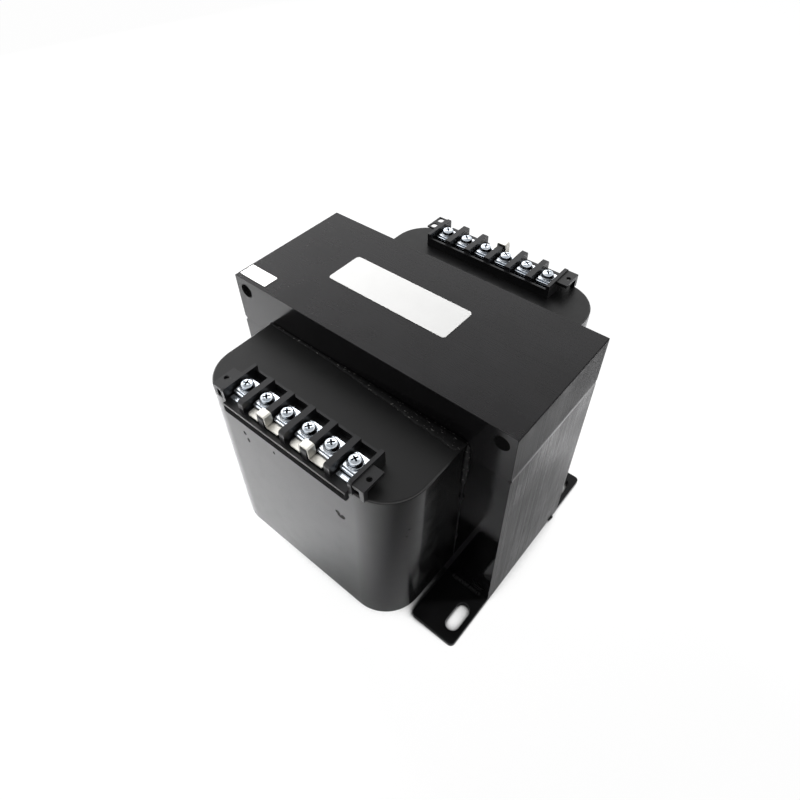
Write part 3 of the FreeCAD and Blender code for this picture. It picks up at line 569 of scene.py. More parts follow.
def plated(name, pale, painted_crevice_shade, rough, reach=2.0, openness=(0.38, 0.76)):
    """Bright plating: cool and near white on open faces, with painted shade in every gap,
    recess and corner, where the surface is closed in. The reach is how wide a gap still gets
    it, and the openness where the painted shade begins and ends."""
    material, tree, place = new_material(name)
    rub = noise(tree, place, 1.6, detail=4, rough=0.6)
    # Painted shade: the colour goes to the crevice colour where ambient occlusion finds the surface
    # closed in.
    shade_openness = node(tree, "ShaderNodeAmbientOcclusion", {"Distance": reach * MM}, samples=8)
    unshaded = span(tree, shade_openness.outputs["AO"], 0.0, 1.0, *openness)
    shown = blend(tree, unshaded, linear(painted_crevice_shade), colours(tree, rub, *pale))
    # Press marks are 0.05 mm apart; they are drawn at 0.3 mm so that they show.
    marks = noise(tree, place, 0.3, detail=2, stretch=(0.25, 1, 1))
    shade(tree, base_color=shown, metallic=1.0, roughness=span(tree, rub, *rough),
          normal=bump(tree, marks, 0.003))
    return material


def grained(name, dark, pale, rough, cloud, grain, depth, **settings):
    """A plain finish: a pattern of two colours, with its gloss, and a grain in relief. The cloud
    and the grain are what their noise takes: size in mm, detail, roughness and stretch."""
    material, tree, place = new_material(name)
    pattern = noise(tree, place, *cloud)
    relief = bump(tree, noise(tree, place, *grain), depth)
    shade(tree, base_color=colours(tree, pattern, dark, pale), normal=relief,
          roughness=span(tree, pattern, *rough), **settings)
    return material


def wound(name, dark, pale, pitch, rough):
    """What is wound inside, banded at its pitch."""
    bands = (pitch, 1, 0.5, (0.05, 0.05, 1))
    return grained(name, dark, pale, (rough - 0.08, rough + 0.08), bands, bands, 0.15)


# Chips, dots and rubbed streaks on the casting: centre, half sizes and colour.
CAST_MARKS = [
    ((30.9, -88.3, 101.2), (1.5, 2.0, 1.3), "#000000"),
    ((34.1, -88.3, 100.6), (1.3, 2.0, 1.2), "#000000"),
    ((32.6, -88.4, 99.4), (2.2, 2.0, 1.1), "#000000"),
    ((-8.9, -88.05, 110.4), (0.7, 2.0, 1.0), "#000000"),
    ((-29.8, -88.1, 108.6), (1.1, 2.0, 1.3), "#020202"),
    ((-28.0, -88.2, 104.6), (1.0, 2.0, 1.6), "#020202"),
    ((-43.5, -90.6, 25.5), (0.9, 2.0, 0.9), "#000000"),
    ((-50.8, -78.9, 125.9), (0.6, 0.6, 1.0), "#000000"),
    ((60.6, -79.0, 97.0), (0.8, 3.0, 0.9), "#000000"),
    ((61.0, -77.0, 102.0), (0.6, 3.0, 0.7), "#000000"),
]

core_finish = varnished_steel("baked_varnish_on_e_sheets", "#060607", "#0E0D0F", 0.24, 0.09, 0.10)
yoke_finish = varnished_steel("baked_varnish_on_i_sheets", "#141315", "#1E1D1F", 0.28, 0.015, 0.24)
foot_finish = varnished_steel("baked_varnish_on_foot_plate", "#161617", "#202021", 0.30, 0.0, 0.0)
# Arc-welded steel under the same baked varnish: darker in the hollows of its ripples.
weld_finish = grained("varnished_weld_metal", "#050506", "#0D0D0E", (0.42, 0.60), (1.2, 4),
                      (1.2, 4), 0.02, specular_ior_level=0.15)
seam_finish = seam_steel()
cast_finish = epoxy_casting(CAST_MARKS)
bead_finish = bead_resin()
# Phenolic plastic, satin from its mould. The moulded grain is near 0.1 mm; it is drawn at
# 0.45 mm so that it shows.
block_finish = grained("moulded_phenolic", "#18181A", "#202022", (0.28, 0.38), (14, 4), (0.45, 2),
                       0.010, ior=1.6)
# Painted shade: a matt black sheet where the gap under each block's lip lies in shadow; it takes
# almost no light from any side.
shadow_strip_finish = grained("talced_black_rubber", "#030303", "#080808", (0.75, 0.9), (0.8, 3), (0.8, 3),
                       0.02, specular_ior_level=0.08)
# The lone colour after each pale pair is the painted shade in its gaps and recesses.
plate_finish = plated("bright_zinc_on_pressed_steel", ("#DFE8F2", "#F6FAFF"), "#1E232A",
                      (0.16, 0.30))
screw_finish = plated("bright_zinc_on_screws", ("#C3CFDC", "#F4F8FD"), "#11151B", (0.14, 0.26),
                      4.0, (0.55, 0.88))
link_finish = plated("dull_nickel_on_brass_strip", ("#CBC9C2", "#DFDDD6"), "#2E2C27",
                     (0.34, 0.46))
# A matt white film and a paper sticker, both blank, with the faintest grain.
FILM = ((0.42, 0.5), (9, 3), (0.6, 2), 0.006)
film_finish = grained("blank_polyester_label", "#F8F8F7", "#FBFBFA", *FILM, ior=1.5)
sticker_finish = grained("blank_paper_sticker", "#F4F3F1", "#FAF9F8", *FILM, ior=1.5)
copper_finish = wound("enamelled_copper_wire", "#6B2F12", "#B4602B", 1.2, 0.3)
paper_finish = wound("kraft_insulation_paper", "#8A6B42", "#B39263", 6.0, 0.75)
board_finish = wound("pressed_board", "#7C5F3C", "#A78555", 9.0, 0.7)


# The core: two stacks of sheets.
# A sheet is drawn across X and Z and is thick along Y.
UPRIGHT = Matrix(((1, 0, 0, 0), (0, 0, -1, 0), (0, 1, 0, 0), (0, 0, 0, 1)))


def sheet_stack(name, outline, hole_level, material, seed, node_name):
    """A stack of punched sheets along Y, none of them quite in line with the next."""
    bm = bmesh.new()
    holes = [circle((side * BOLT_X, hole_level), BOLT_RADIUS, 20) for side in (-1, 1)]
    half = SHEET / 2 * SHEET_FILL
    slab(bm, outline, -half, half, 0.03, holes, UPRIGHT, steps=1)
    master = from_bmesh(name + "_sheet", bm)
    step = (2 * STACK_HALF - SHEET) / (SHEETS - 1)
    made = row(name, master, SHEETS, (0, -STACK_HALF + SHEET / 2, 0), (0, step, 0), material,
               shift=(0.02, 0, 0.02), seed=seed)
    drop(master)
    settle(made, material, "core_steel", node_name)


def limb_outline():
    """An E sheet, its three limbs pointing up, with the weld groove's half at each outer top."""
    outer, inner = CORE_HALF, CORE_HALF - LIMB
    low, window = CORE_LOW, CORE_LOW + LIMB
    return [
        (-outer, low), (outer, low), (outer, SEAM - GROOVE), (outer - GROOVE, SEAM),
        (inner, SEAM), (inner, window), (LIMB, window), (LIMB, SEAM),
        (-LIMB, SEAM), (-LIMB, window), (-inner, window), (-inner, SEAM),
        (-outer + GROOVE, SEAM), (-outer, SEAM - GROOVE),
    ]


def yoke_outline():
    """An I sheet, which closes the E sheet's limbs."""
    return [
        (-CORE_HALF + GROOVE, SEAM), (CORE_HALF - GROOVE, SEAM), (CORE_HALF, SEAM + GROOVE),
        (CORE_HALF, CORE_TOP), (-CORE_HALF, CORE_TOP), (-CORE_HALF, SEAM + GROOVE),
    ]


sheet_stack("e_sheet_stack", limb_outline(), BOLT_Z[0], core_finish, 11, "core_e_stack")
sheet_stack("i_sheet_stack", yoke_outline(), BOLT_Z[1], yoke_finish, 12, "core_i_stack")


# Welds.
def puddle(name, halves):
    """One frozen puddle of a weld: an egg of these half sizes."""
    bm = bmesh.new()
    profile = [(math.sin(math.pi * i / 8), -math.cos(math.pi * i / 8)) for i in range(9)]
    turned(bm, profile, 14)
    bmesh.ops.scale(bm, verts=bm.verts, vec=halves)
    return from_bmesh(name, bm)


def seam_weld(side, word):
    """The weld that ties the two stacks: it fills the groove down one side of the core, nearly
    flush, with a low rippled crown."""
    bm = bmesh.new()
    stations = 150
    reach = STACK_HALF - WELD_GAP
    wander = smooth_walk(stations, 21 + side, 60)
    sections = []
    for i in range(stations):
        y = -reach + 2 * reach * i / (stations - 1)
        ripple = 0.08 + 0.03 * wander[i] + 0.02 * math.sin(i * 2.1)
        section = [(side * (CORE_HALF - GROOVE), y, SEAM)]
        for k in range(9):
            z = GROOVE * (1 - k / 4)
            section.append((side * (CORE_HALF + ripple * (1 - (z / GROOVE) ** 2)), y, SEAM + z))
        sections.append(section)
    loft(bm, sections)
    made = soften(from_bmesh("seam_bead_" + word, bm), 50)
    settle(made, seam_finish, "weld_metal", "seam_weld_" + word)


def foot_welds():
    """Four short fillets between the feet and the faces of the core."""
    master = puddle("fillet_puddle", (1.1, 1.9, 1.9))
    middle = (CORE_HALF + FOOT_IN) / 2
    step = (FILLET_LONG / (FILLET_DROPS - 1), 0, 0)
    rows = []
    for i, (across, along) in enumerate(((-1, -1), (1, -1), (-1, 1), (1, 1))):
        start = (across * middle - FILLET_LONG / 2, along * (STACK_HALF + 0.1), FOOT_THICK + 0.1)
        rows.append(row("fillet_%d" % i, master, FILLET_DROPS, start, step, weld_finish,
                        shift=(0.2, 0.15, 0.15), spread=(0, 0, 10), seed=31 + i))
    drop(master)
    made = soften(joined("foot_fillets", rows), 60)
    settle(made, weld_finish, "weld_metal", "foot_weld_beads")


seam_weld(-1, "left")
seam_weld(1, "right")
foot_welds()


# Feet.
def foot(side, word):
    """A punched strip across the soles of the core, with a slot in each end."""
    bm = bmesh.new()
    left, right = sorted((side * FOOT_IN, side * CORE_HALF))
    outline = rounded(left, right, *FOOT_ENDS, FOOT_CORNER, 8)
    half_wide, half_long = SLOT_SIZE[0] / 2, SLOT_SIZE[1] / 2
    slots = []
    for y in (FOOT_ENDS[0] + SLOT_INSET, FOOT_ENDS[1] - SLOT_INSET):
        x = side * SLOT_X
        low, high = y - half_long + half_wide, y + half_long - half_wide
        slots.append(arc((x, high), half_wide, 0, 180, 14)
                     + arc((x, low), half_wide, 180, 360, 14))
    slab(bm, outline, 0, FOOT_THICK, 0.35, slots, steps=3)
    made = soften(from_bmesh("foot_strip_" + word, bm), 40)
    settle(made, foot_finish, "foot_steel", "foot_" + word)


def varnish_drip():
    """Varnish that ran down the side of the core and set against the right foot."""
    drops = [((85.7, 29.5, 1.9), (0.9, 2.0, 1.3)), ((85.9, 31.2, 1.3), (0.9, 1.2, 1.0))]
    made = []
    for i, (centre, halves) in enumerate(drops):
        drop_of_it = puddle("drip_%d" % i, halves)
        drop_of_it.data.transform(Matrix.Translation([c * MM for c in centre]))
        made.append(drop_of_it)
    settle(soften(joined("varnish_drip", made), 60), weld_finish, "core_steel")


foot(-1, "left")
foot(1, "right")
varnish_drip()


# The potted coil.
def cast_size(height):
    """The half width and the reach of the casting at a height."""
    share = (height - CAST_LOW) / (CAST_TOP - CAST_LOW)
    return (CAST_WIDE_LOW + (CAST_WIDE_TOP - CAST_WIDE_LOW) * share,
            CAST_REACH_LOW + (CAST_REACH_TOP - CAST_REACH_LOW) * share)


def lobe_section(height, depth, side):
    """The casting's plan on one side of the core at a height, drawn in by the rim's depth."""
    wide, reach = (size - depth for size in cast_size(height))
    corner = CAST_CORNER - depth
    face = -STACK_HALF + 0.3
    plan = [(-wide, face)]
    plan += arc((-wide + corner, -reach + corner), corner, 180, 270, 24)
    plan += arc((wide - corner, -reach + corner), corner, 270, 360, 24)
    plan += [(wide, face)]
    return [(-side * x, -side * y, height) for x, y in plan]


def casting():
    """The two potted lobes, drafted from the mould with round rims, and the bars between them."""
    bm = bmesh.new()
    levels = rounding(CAST_LOW, CAST_TOP, CAST_RIM, 5)
    middle = [(CAST_LOW + CAST_RIM + (CAST_TOP - CAST_LOW - 2 * CAST_RIM) * i / 8, 0)
              for i in range(1, 8)]
    levels = levels[:6] + middle + levels[6:]
    for side in (-1, 1):
        loft(bm, [lobe_section(z, depth, side) for z, depth in levels])
        bar = rounded(*sorted((side * BAR[0], side * BAR[1])), *BAR[2:], 1.0)
        slab(bm, bar, -STACK_HALF + 0.1, STACK_HALF - 0.1, 0.3, (), UPRIGHT)
    made = soften(from_bmesh("epoxy_coil_casting", bm), 34)
    settle(made, cast_finish, "casting_resin", "coil_casting")


def resin_bead(bm, path, first_way, second_way, first_widths, second_widths, seed):
    """A hand-laid bead in a corner: a swollen quarter round of changing width."""
    count = len(path)
    wander = smooth_walk(count, seed, 26)
    fine = smooth_walk(count, seed + 1, 70)
    sections = []
    for i, corner in enumerate(path):
        swell = 1 + 0.07 * wander[i] + 0.05 * fine[i]
        taper = min(1, (min(i, count - 1 - i) + 0.15) / 5)
        taper = math.sqrt(taper * (2 - taper))
        wide = first_widths(i / (count - 1)) * swell * taper
        tall = second_widths(i / (count - 1)) * swell * taper
        corner = Vector(corner)
        inner = corner - (first_way + second_way) * 0.15
        section = [inner]
        for k in range(9):
            turn = math.pi / 2 * k / 8
            section.append(corner + first_way * wide * math.cos(turn) ** 0.8
                           + second_way * tall * math.sin(turn) ** 0.8)
        sections.append(section)
    loft(bm, sections)


def between(points):
    """A smooth reading of (place, width) pairs."""
    def width(t):
        for (a, wa), (b, wb) in zip(points, points[1:]):
            if t <= b:
                s = ease((t - a) / (b - a))
                return wa * (1 - s) + wb * s
        return points[-1][1]
    return width


def resin_beads():
    """Resin that closes the joints between the casting and the core, front and back."""
    bm = bmesh.new()
    stations = 140
    for side in (-1, 1):
        out = Vector((0, side, 0))
        path = [(-side * (-62.6 + 125.6 * i / (stations - 1)), side * STACK_HALF, CAST_TOP)
                for i in range(stations)]
        along = between([(0, 1.2), (0.3, 1.5), (0.62, 3.8), (0.9, 6.4), (1, 7.4)])
        up = between([(0, 0.5), (0.3, 0.5), (0.62, 0.8), (0.9, 1.0), (1, 1.2)])
        resin_bead(bm, path, out, Vector((0, 0, 1)), along, up, 40 + side)
        for end in (-1, 1):
            low, high = CAST_LOW + 2, CAST_TOP - 0.5
            heights = [high - (high - low) * i / 89 for i in range(90)]
            run = [(end * cast_size(z)[0], side * STACK_HALF, z) for z in heights]
            near = between([(0, 1.8), (0.12, 2.3), (0.24, 2.0), (0.32, 0.6), (0.38, 0.5),
                            (0.41, 1.4), (0.46, 0.5), (0.74, 0.4), (0.78, 1.1), (0.83, 0.4),
                            (1, 0.4)])
            resin_bead(bm, run, Vector((end, 0, 0)), out, near, near, 50 + side * 2 + end)
    made = from_bmesh("resin_joint_beads", bm)
    made.data.shade_smooth()
    settle(made, bead_finish, "casting_resin")


casting()
resin_beads()


# Terminal blocks.
def bevelled_copy(name, source, trim=None):
    """A merged copy of a CAD node with its moulded edges rounded. What lies left of the trim, in
    mm, is cut off and the cut is closed."""
    bm = bmesh.new()
    bm.from_mesh(frame["nodes"][source].data)
    bmesh.ops.remove_doubles(bm, verts=bm.verts, dist=2e-6)
    if trim:
        cut(bm, trim * MM, 1e-7, -1, True)
        bmesh.ops.holes_fill(bm, edges=[e for e in bm.edges if e.is_boundary])
        bmesh.ops.recalc_face_normals(bm, faces=bm.faces)
    bmesh.ops.dissolve_limit(bm, angle_limit=math.radians(0.6), verts=bm.verts, edges=bm.edges)
    made = modify(as_drawn(name, bm), "BEVEL", width=BLOCK_EDGE * MM, segments=3,
                  limit_method="ANGLE", angle_limit=math.radians(35), miter_outer="MITER_ARC",
                  use_clamp_overlap=True)
    return soften(made, 40)


def window_ear():
    """The thin ear at the left end of the rear block, with the two openings one sees through."""
    bm = bmesh.new()
    left, right = -BLOCK_HALF - ROW_SHIFT - EAR_WIDE, -BLOCK_HALF - ROW_SHIFT + 0.15
    low, high = EAR_Y - EAR_LONG / 2, EAR_Y + EAR_LONG / 2
    rim_left, rim_right, rim_end, rim_mid = EAR_RIMS
    windows = [rounded(left + rim_left, right - rim_right, *pair, 1.2, 5)
               for pair in ((low + rim_end, EAR_Y - rim_mid), (EAR_Y + rim_mid, high - rim_end))]
    slab(bm, rounded(left, right, low, high, 0.3, 3), EAR_TOP - EAR_WEB, EAR_TOP, 0.15, windows)
    return from_bmesh("window_ear", bm)


for end in ("front", "rear"):
    trim = -BLOCK_HALF - ROW_SHIFT + 0.05 if end == "rear" else None
    block = bevelled_copy("barrier_block_" + end, "terminal_block_" + end, trim)
    if end == "rear":
        block = soften(joined("barrier_block_rear", [block, window_ear()]), 40)
    settle(block, block_finish, "block_plastic", "terminal_block_" + end)


def lip_shadow_strip(end):
    """Painted shade: a matt black band in the shadowed gap from the block's lip to the casting."""
    bm = bmesh.new()
    slab(bm, rounded(*LIP_SHADOW_STRIP, 0.4, 3), *LIP_SHADOW_STRIP_Y, 0.08, (), UPRIGHT)
    half_turn = Matrix.Rotation(math.pi * (end == "rear"), 4, "Z")
    place = half_turn @ Matrix.Translation((ROW_SHIFT, 0, 0))
    bmesh.ops.transform(bm, matrix=place, verts=bm.verts)
    made = soften(from_bmesh("lip_strip_" + end, bm), 40)
    settle(made, shadow_strip_finish, "block_plastic")


lip_shadow_strip("front")
lip_shadow_strip("rear")


# Terminal hardware.
# Masters are drawn about the screw's axis at X = 0, Y = 0, for the front block: the wire side
# is towards -Y.
def screw_master():
    """A pan-head screw with its captive washer and a cross recess."""
    bm = bmesh.new()
    profile = [(0, 126.3), (1.3, 126.3), (1.7, 126.8)]
    for i in range(6):
        profile += [(1.7, 127.0 + i * 0.7), (1.4, 127.35 + i * 0.7)]
    profile += [
        (1.7, 131.3), (3.3, 131.3), (3.5, 131.45), (3.5, 131.95), (3.35, 132.1), (2.75, 132.14),
        (2.75, 132.3), (3.0, 132.34), (3.13, 132.5), (3.15, 133.0), (3.08, 133.45),
        (2.85, 133.88), (2.4, 134.18), (1.7, 134.36), (0.9, 134.42), (0, 134.43),
    ]
    turned(bm, profile, 40)
    made = from_bmesh("screw_master", bm, 1)
    cutter = bmesh.new()
    sections = []
    for height, arm, half in ((135.2, 1.95, 0.52), (134.4, 1.75, 0.46), (133.0, 0.75, 0.3)):
        plus = []
        for quarter in range(4):
            turn = math.radians(90 * quarter)
            for x, y in ((arm, -half), (arm, half), (half, half)):
                plus.append((x * math.cos(turn) - y * math.sin(turn),
                             x * math.sin(turn) + y * math.cos(turn), height))
        sections.append(plus)
    loft(cutter, sections)
    tool = from_bmesh("screw_recess", cutter, 1)
    modify(made, "BOOLEAN", operation="DIFFERENCE", solver="EXACT", object=tool)
    drop(tool)
    made.data.transform(Matrix.Scale(MM, 4))
    return soften(made, 32)


def lower_clamp_master():
    """The square pressure plate, its two ends turned down to hold the wire."""
    bm = bmesh.new()
    outline = rounded(-4.4, 4.4, -5.3, 5.3, 0.7, 4)
    slab(bm, outline, *LOWER_CLAMP_Z, 0.18, [circle((0, 0), 2.0)])
    for end in (-1, 1):
        tip = rounded(-4.3, 4.3, *sorted((end * 4.55, end * 5.28)), 0.3, 3)
        slab(bm, tip, LOWER_CLAMP_Z[0] - 0.16, LOWER_CLAMP_Z[0] + 0.3, 0.12)
    return soften(from_bmesh("lower_clamp_master", bm), 40)


def upper_clamp_master():
    """The smaller plate above it, dished about the screw."""
    bm = bmesh.new()
    outline = rounded(-3.9, 3.9, -4.3, 4.3, 0.9, 4)
    slab(bm, outline, *UPPER_CLAMP_Z, 0.2, [circle((0, 0), 1.9)])
    dish = [(1.9, 131.2), (3.88, 131.2), (3.9, 131.5), (3.78, 131.7), (3.6, 131.74),
            (3.42, 131.64), (3.2, 131.42), (1.9, 131.4)]
    ring = [[bm.verts.new((*p, z)) for p in circle((0, 0), r, 40)] for r, z in dish]
    join_rings(bm, ring + [ring[0]])
    return soften(from_bmesh("upper_clamp_master", bm), 40)


def terminal_plate_master():
    """The flat plate under the clamps, which runs out to where the wire comes in."""
    bm = bmesh.new()
    outline = rounded(-4.3, 4.3, -7.9, 6.1, 0.5, 4)
    slab(bm, outline, *PLATE_Z, 0.15, [circle((0, 0), 1.9)])
    return soften(from_bmesh("terminal_plate_master", bm), 40)


def hardware(master, name, end, material, slot, node_name, spread):
    """One row of six on the front or the rear block, which is the front turned half round."""
    rear = end == "rear"
    sign = -1 if rear else 1
    first = (sign * (ROW_SHIFT - PITCH * (TERMINALS - 1) / 2), -sign * SCREW_Y, 0)
    made = row("%s_%s" % (name, end), master, TERMINALS, first, (sign * PITCH, 0, 0), material,
               shift=(0.08, 0.08, 0), turn=(0, 0, 180 if rear else 0), spread=(0, 0, spread),
               seed=60 + rear)
    settle(made, material, slot, "%s_%s" % (node_name, end))


masters = (
    (terminal_plate_master(), "contact_plates", plate_finish, "plated_plate", "terminal_plates", 0),
    (lower_clamp_master(), "pressure_plates", plate_finish, "plated_plate", "lower_clamps", 1.2),
    (upper_clamp_master(), "dished_plates", plate_finish, "plated_plate", "upper_clamps", 1.6),
    (screw_master(), "cross_screws", screw_finish, "plated_screw", "terminal_screws", 180),
)
for master, name, material, slot, node_name, spread in masters:
    for end in ("front", "rear"):
        hardware(master, name, end, material, slot, node_name, spread)
    drop(master)


# Jumper links.
def strip_path():
    """The middle line of the bent strip across a barrier, as (along, place, upward way) marks."""
    half = LINK_THICK / 2
    level, top = LINK_Z + half, LINK_TOP - half
    rising = [(-LINK_HALF, level), (-2.75, level), (-2.42, top)]
    corners = rising + [(-x, y) for x, y in reversed(rising)]
    bends = [0, 0.55, 0.62, 0.62, 0.55, 0]
    points = [Vector(corners[0])]
    for i in range(1, 5):
        here, before, after = (Vector(corners[k]) for k in (i, i - 1, i + 1))
        into, out = (here - before).normalized(), (after - here).normalized()
        swing = math.acos(max(-1, min(1, into.dot(out))))
        run = bends[i] * math.tan(swing / 2)
        start, end = here - into * run, here + out * run
        for k in range(6):
            t = k / 5
            points.append(start * (1 - t) ** 2 + here * 2 * t * (1 - t) + end * t ** 2)
    points.append(Vector(corners[5]))
    marks, gone = [], 0
    for i, point in enumerate(points):
        gone += (point - points[i - 1]).length if i else 0
        ahead = (points[min(i + 1, len(points) - 1)] - points[max(i - 1, 0)]).normalized()
        marks.append((gone, point, Vector((-ahead.y, ahead.x))))
    return marks


def jumper(word, centre, rear=False):
    """A strip stamped flat with a fork at each end, then bent up over the barrier."""
    marks = strip_path()
    long = marks[-1][0]
    fork, root, wide = 3.3, 1.95, 6.6
    reach_in, neck, reach_out = (y - SCREW_Y for y in LINK_Y)
    outline = (
        arc((1.6, -reach_out + 1.6), 1.6, 180, 270, 6)
        + arc((long - 0.6, -reach_out + 0.6), 0.6, 270, 360, 4)
        + arc((long - 0.5, -reach_in - 0.5), 0.5, 0, 90, 3)
        + [(long - fork + root, -reach_in)]
        + arc((long - fork, 0), root, 0, -180, 10)
        + [(long - fork - root, -reach_in)]
        + arc((long - wide + 0.4, -reach_in - 0.4), 0.4, 90, 180, 3)
        + [(long - wide, -neck), (wide, -neck)]
        + arc((wide - 0.4, -reach_in - 0.4), 0.4, 0, 90, 3)
        + [(fork + root, -reach_in)]
        + arc((fork, 0), root, 0, -180, 10)
        + [(fork - root, -reach_in)]
        + arc((0.5, -reach_in - 0.5), 0.5, 90, 180, 3)
    )
    bm = bmesh.new()
    slab(bm, outline, -LINK_THICK / 2, LINK_THICK / 2, 0.12)
    bmesh.ops.remove_doubles(bm, verts=bm.verts, dist=1e-4)
    for gone, _, _ in marks[1:-1]:
        cut(bm, gone, 1e-6)
    for vertex in bm.verts:
        along, across, up = vertex.co
        k = 1
        while k < len(marks) - 1 and marks[k][0] < along:
            k += 1
        (a, pa, na), (b, pb, nb) = marks[k - 1], marks[k]
        t = (along - a) / (b - a)
        middle = pa.lerp(pb, t)
        way = na.lerp(nb, t).normalized()
        vertex.co = Vector((middle.x + way.x * up, across, middle.y + way.y * up))
    sign = -1 if rear else 1
    place = Matrix.Translation((sign * (ROW_SHIFT + centre), -sign * SCREW_Y, 0))
    bmesh.ops.transform(bm, matrix=place @ Matrix.Rotation(math.pi * rear, 4, "Z"), verts=bm.verts)
    made = soften(from_bmesh("bent_link_" + word, bm), 40)
    settle(made, link_finish, "plated_link", "jumper_link_" + word)


jumper("front_left", -PITCH)
jumper("front_right", PITCH)
jumper("rear", 0, True)


# What stays as the CAD made it.
for name, material in {
    "coil_former": board_finish,
    "inner_winding": copper_finish,
    "outer_winding": copper_finish,
    "lead_wires_front": copper_finish,
    "lead_wires_rear": copper_finish,
    "winding_insulation": paper_finish,
    "rating_label": film_finish,
    "small_sticker": sticker_finish,
}.items():
    kept = frame["nodes"][name]
    kept.data.materials.clear()
    kept.data.materials.append(material)


# Stage, light and camera.
def give_out(tree, kind, share, first, second):
    """Ends a tree with its first shader, or its second where the share is 1."""
    both = node(tree, "ShaderNodeMixShader", {0: share, 1: first.outputs[0], 2: second.outputs[0]})
    node(tree, "ShaderNodeOutput" + kind, {"Surface": both.outputs[0]})


def floor():
    """A wide pale floor. The camera and mirror-like surfaces see it near white; it keeps the
    object's shadow."""
    bm = bmesh.new()
    bmesh.ops.create_grid(bm, x_segments=8, y_segments=8, size=2.5)
    made = as_drawn("floor", bm)
    material = bpy.data.materials.new("pale_floor")
    tree = empty_tree(material)
    ray = node(tree, "ShaderNodeLightPath").outputs
    seen = maths(tree, "ADD", ray["Is Glossy Ray"], ray["Is Transmission Ray"])
    mirrored = maths(tree, "MULTIPLY", seen, MIRRORED_FLOOR)
    share = maths(tree, "MULTIPLY_ADD", ray["Is Camera Ray"], WHITE_FLOOR, mirrored)
    lit = node(tree, "ShaderNodeBsdfDiffuse", {"Color": linear("#FBFBFC")})
    # The narrow shadow close under the object: in the slots, along the feet and under the coil.
    close = node(tree, "ShaderNodeAmbientOcclusion", {"Distance": SHADOW_REACH * MM}, samples=16)
    tone = span(tree, close.outputs["AO"], 0.0, FLOOR_WHITE, *SHADOW_RANGE)
    white = node(tree, "ShaderNodeEmission", {"Color": (1, 1, 1, 1), "Strength": tone})
    give_out(tree, "Material", share, lit, white)
    made.data.materials.append(material)


def world():
    """White to the camera and to mirror-like surfaces, and a plain soft level as light."""
    made = bpy.data.worlds.new("studio")
    bpy.context.scene.world = made
    tree = empty_tree(made)
    ray = node(tree, "ShaderNodeLightPath").outputs
    seen = maths(tree, "ADD", ray["Is Camera Ray"], ray["Is Glossy Ray"])
    seen = maths(tree, "ADD", seen, ray["Is Transmission Ray"], clamp=True)
    way = node(tree, "ShaderNodeTexCoord").outputs["Generated"]
    height = part_of(tree, way, "Z")
    # The studio is white to its full height at the sides, and its ceiling is darker.
    level = span(tree, height, HORIZON, ZENITH, WALL_END, CEILING, "SMOOTHSTEP")
    # A wide soft box stands off to the left, and glossy surfaces show its glow.
    near = node(tree, "ShaderNodeVectorMath", {0: way, 1: Vector(GLOW_WAY).normalized()},
                operation="DOT_PRODUCT").outputs["Value"]
    glow = span(tree, near, 0.0, GLOW, GLOW_EDGE, 1.0, "SMOOTHSTEP")
    level = maths(tree, "ADD", level, glow)
    soft, white = (node(tree, "ShaderNodeBackground", {"Color": (1, 1, 1, 1), "Strength": light})
                   for light in (SKY_LIGHT, level))
    give_out(tree, "World", seen, soft, white)


def lamp(name, place, target, size, power, spread=180, only=()):
    """A square soft box at a place, facing a target. Places are metres. Only the named pieces
    see one that has such a list; the others light everything but aren't mirrored."""
    light = bpy.data.lights.new(name, "AREA")
    light.shape = "SQUARE"
    light.size = size
    light.energy = power
    light.spread = math.radians(spread)
    made = new_object(name, light)
    way = Vector(target) - Vector(place)
    made.rotation_euler = way.to_track_quat("-Z", "Y").to_euler()
    made.location = place
    made.visible_glossy = bool(only)
    if only:
        lit = bpy.data.collections.new(name + "_pieces")
        for piece in only:
            lit.objects.link(bpy.data.objects[piece])
        made.light_linking.receiver_collection = lit


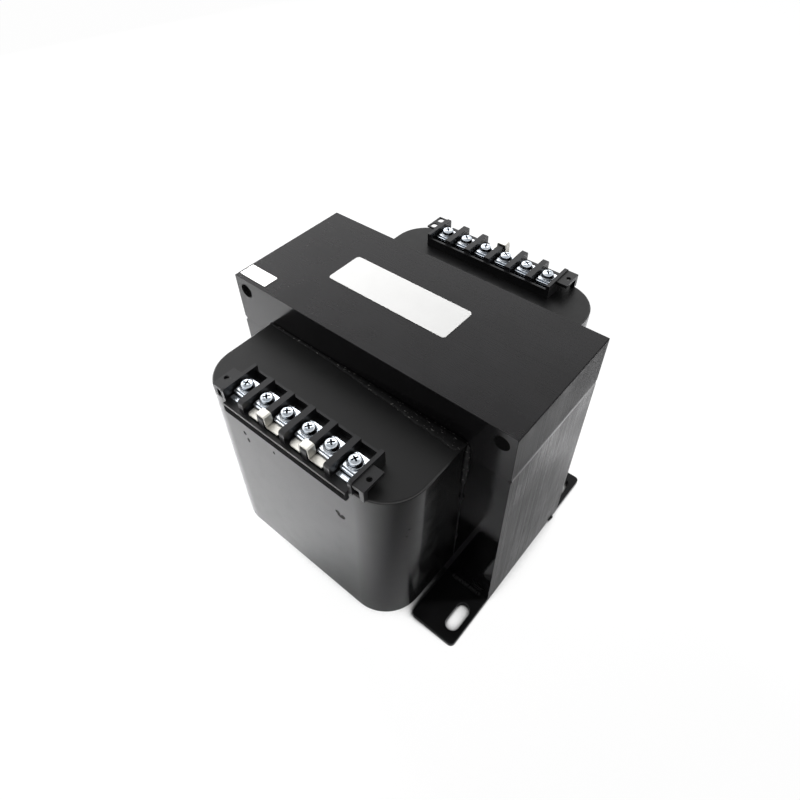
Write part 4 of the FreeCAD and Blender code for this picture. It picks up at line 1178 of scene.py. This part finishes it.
def camera():
    """The photograph's camera: close, wide and high over the front right corner."""
    lens = bpy.data.cameras.new("photo_camera")
    lens.sensor_width = 36
    lens.lens = 27.631
    lens.shift_x = 0.00678
    lens.shift_y = -0.02426
    lens.clip_start = 0.01
    made = new_object("photo_camera", lens)
    right = (0.762807, 0.646194, -0.023641)
    up = (-0.456957, 0.564567, 0.687354)
    back = (0.457511, -0.513515, 0.725938)
    turn = Matrix((right, up, back)).transposed().to_4x4()
    made.matrix_world = Matrix.Translation((0.147153, -0.178280, 0.336612)) @ turn
    bpy.context.scene.camera = made


# The floor: how white it is to the camera and to mirror-like surfaces, and its narrow shadow,
# which is as wide as the reach and fades between two degrees of openness.
WHITE_FLOOR = 0.94
MIRRORED_FLOOR = 0.02
FLOOR_WHITE = 1.04
SHADOW_REACH = 40
SHADOW_RANGE = (0.36, 0.57)
# The room: its plain light, and its walls, ceiling and soft box as glossy surfaces see them.
# The ends of a range are the Z of the way they lie in, and for the soft box a cosine.
SKY_LIGHT = 0.15
HORIZON = 1.05
ZENITH = 0.48
WALL_END = 0.52
CEILING = 0.86
GLOW = 0.75
GLOW_EDGE = 0.86
GLOW_WAY = (-0.92, 0.12, 0.45)
floor()
world()
# What mirrors the wide light above it: the hardware, and the sticker, which lies in its glow.
PLATED = ["%s_%s" % (name, end)
          for name in ("contact_plates", "pressure_plates", "dished_plates", "cross_screws")
          for end in ("front", "rear")]
PLATED += ["bent_link_front_left", "bent_link_front_right", "bent_link_rear", "small_sticker"]
lamp("key_left", (-0.80, 0.27, 0.42), (0, 0, 0.05), 0.4, 21.5)
lamp("floor_right", (0.55, 0.45, 0.35), (0.11, 0.06, 0.0), 0.15, 0.08, spread=14)
lamp("floor_front", (-0.50, -0.42, 0.55), (-0.08, -0.13, 0.0), 0.20, 0.08, spread=18)
lamp("hardware_glow", (-0.55, 0.62, 0.78), (0, 0, 0.13), 0.9, 5.2, only=PLATED)
camera()
bpy.context.scene.view_settings.view_transform = "Standard"
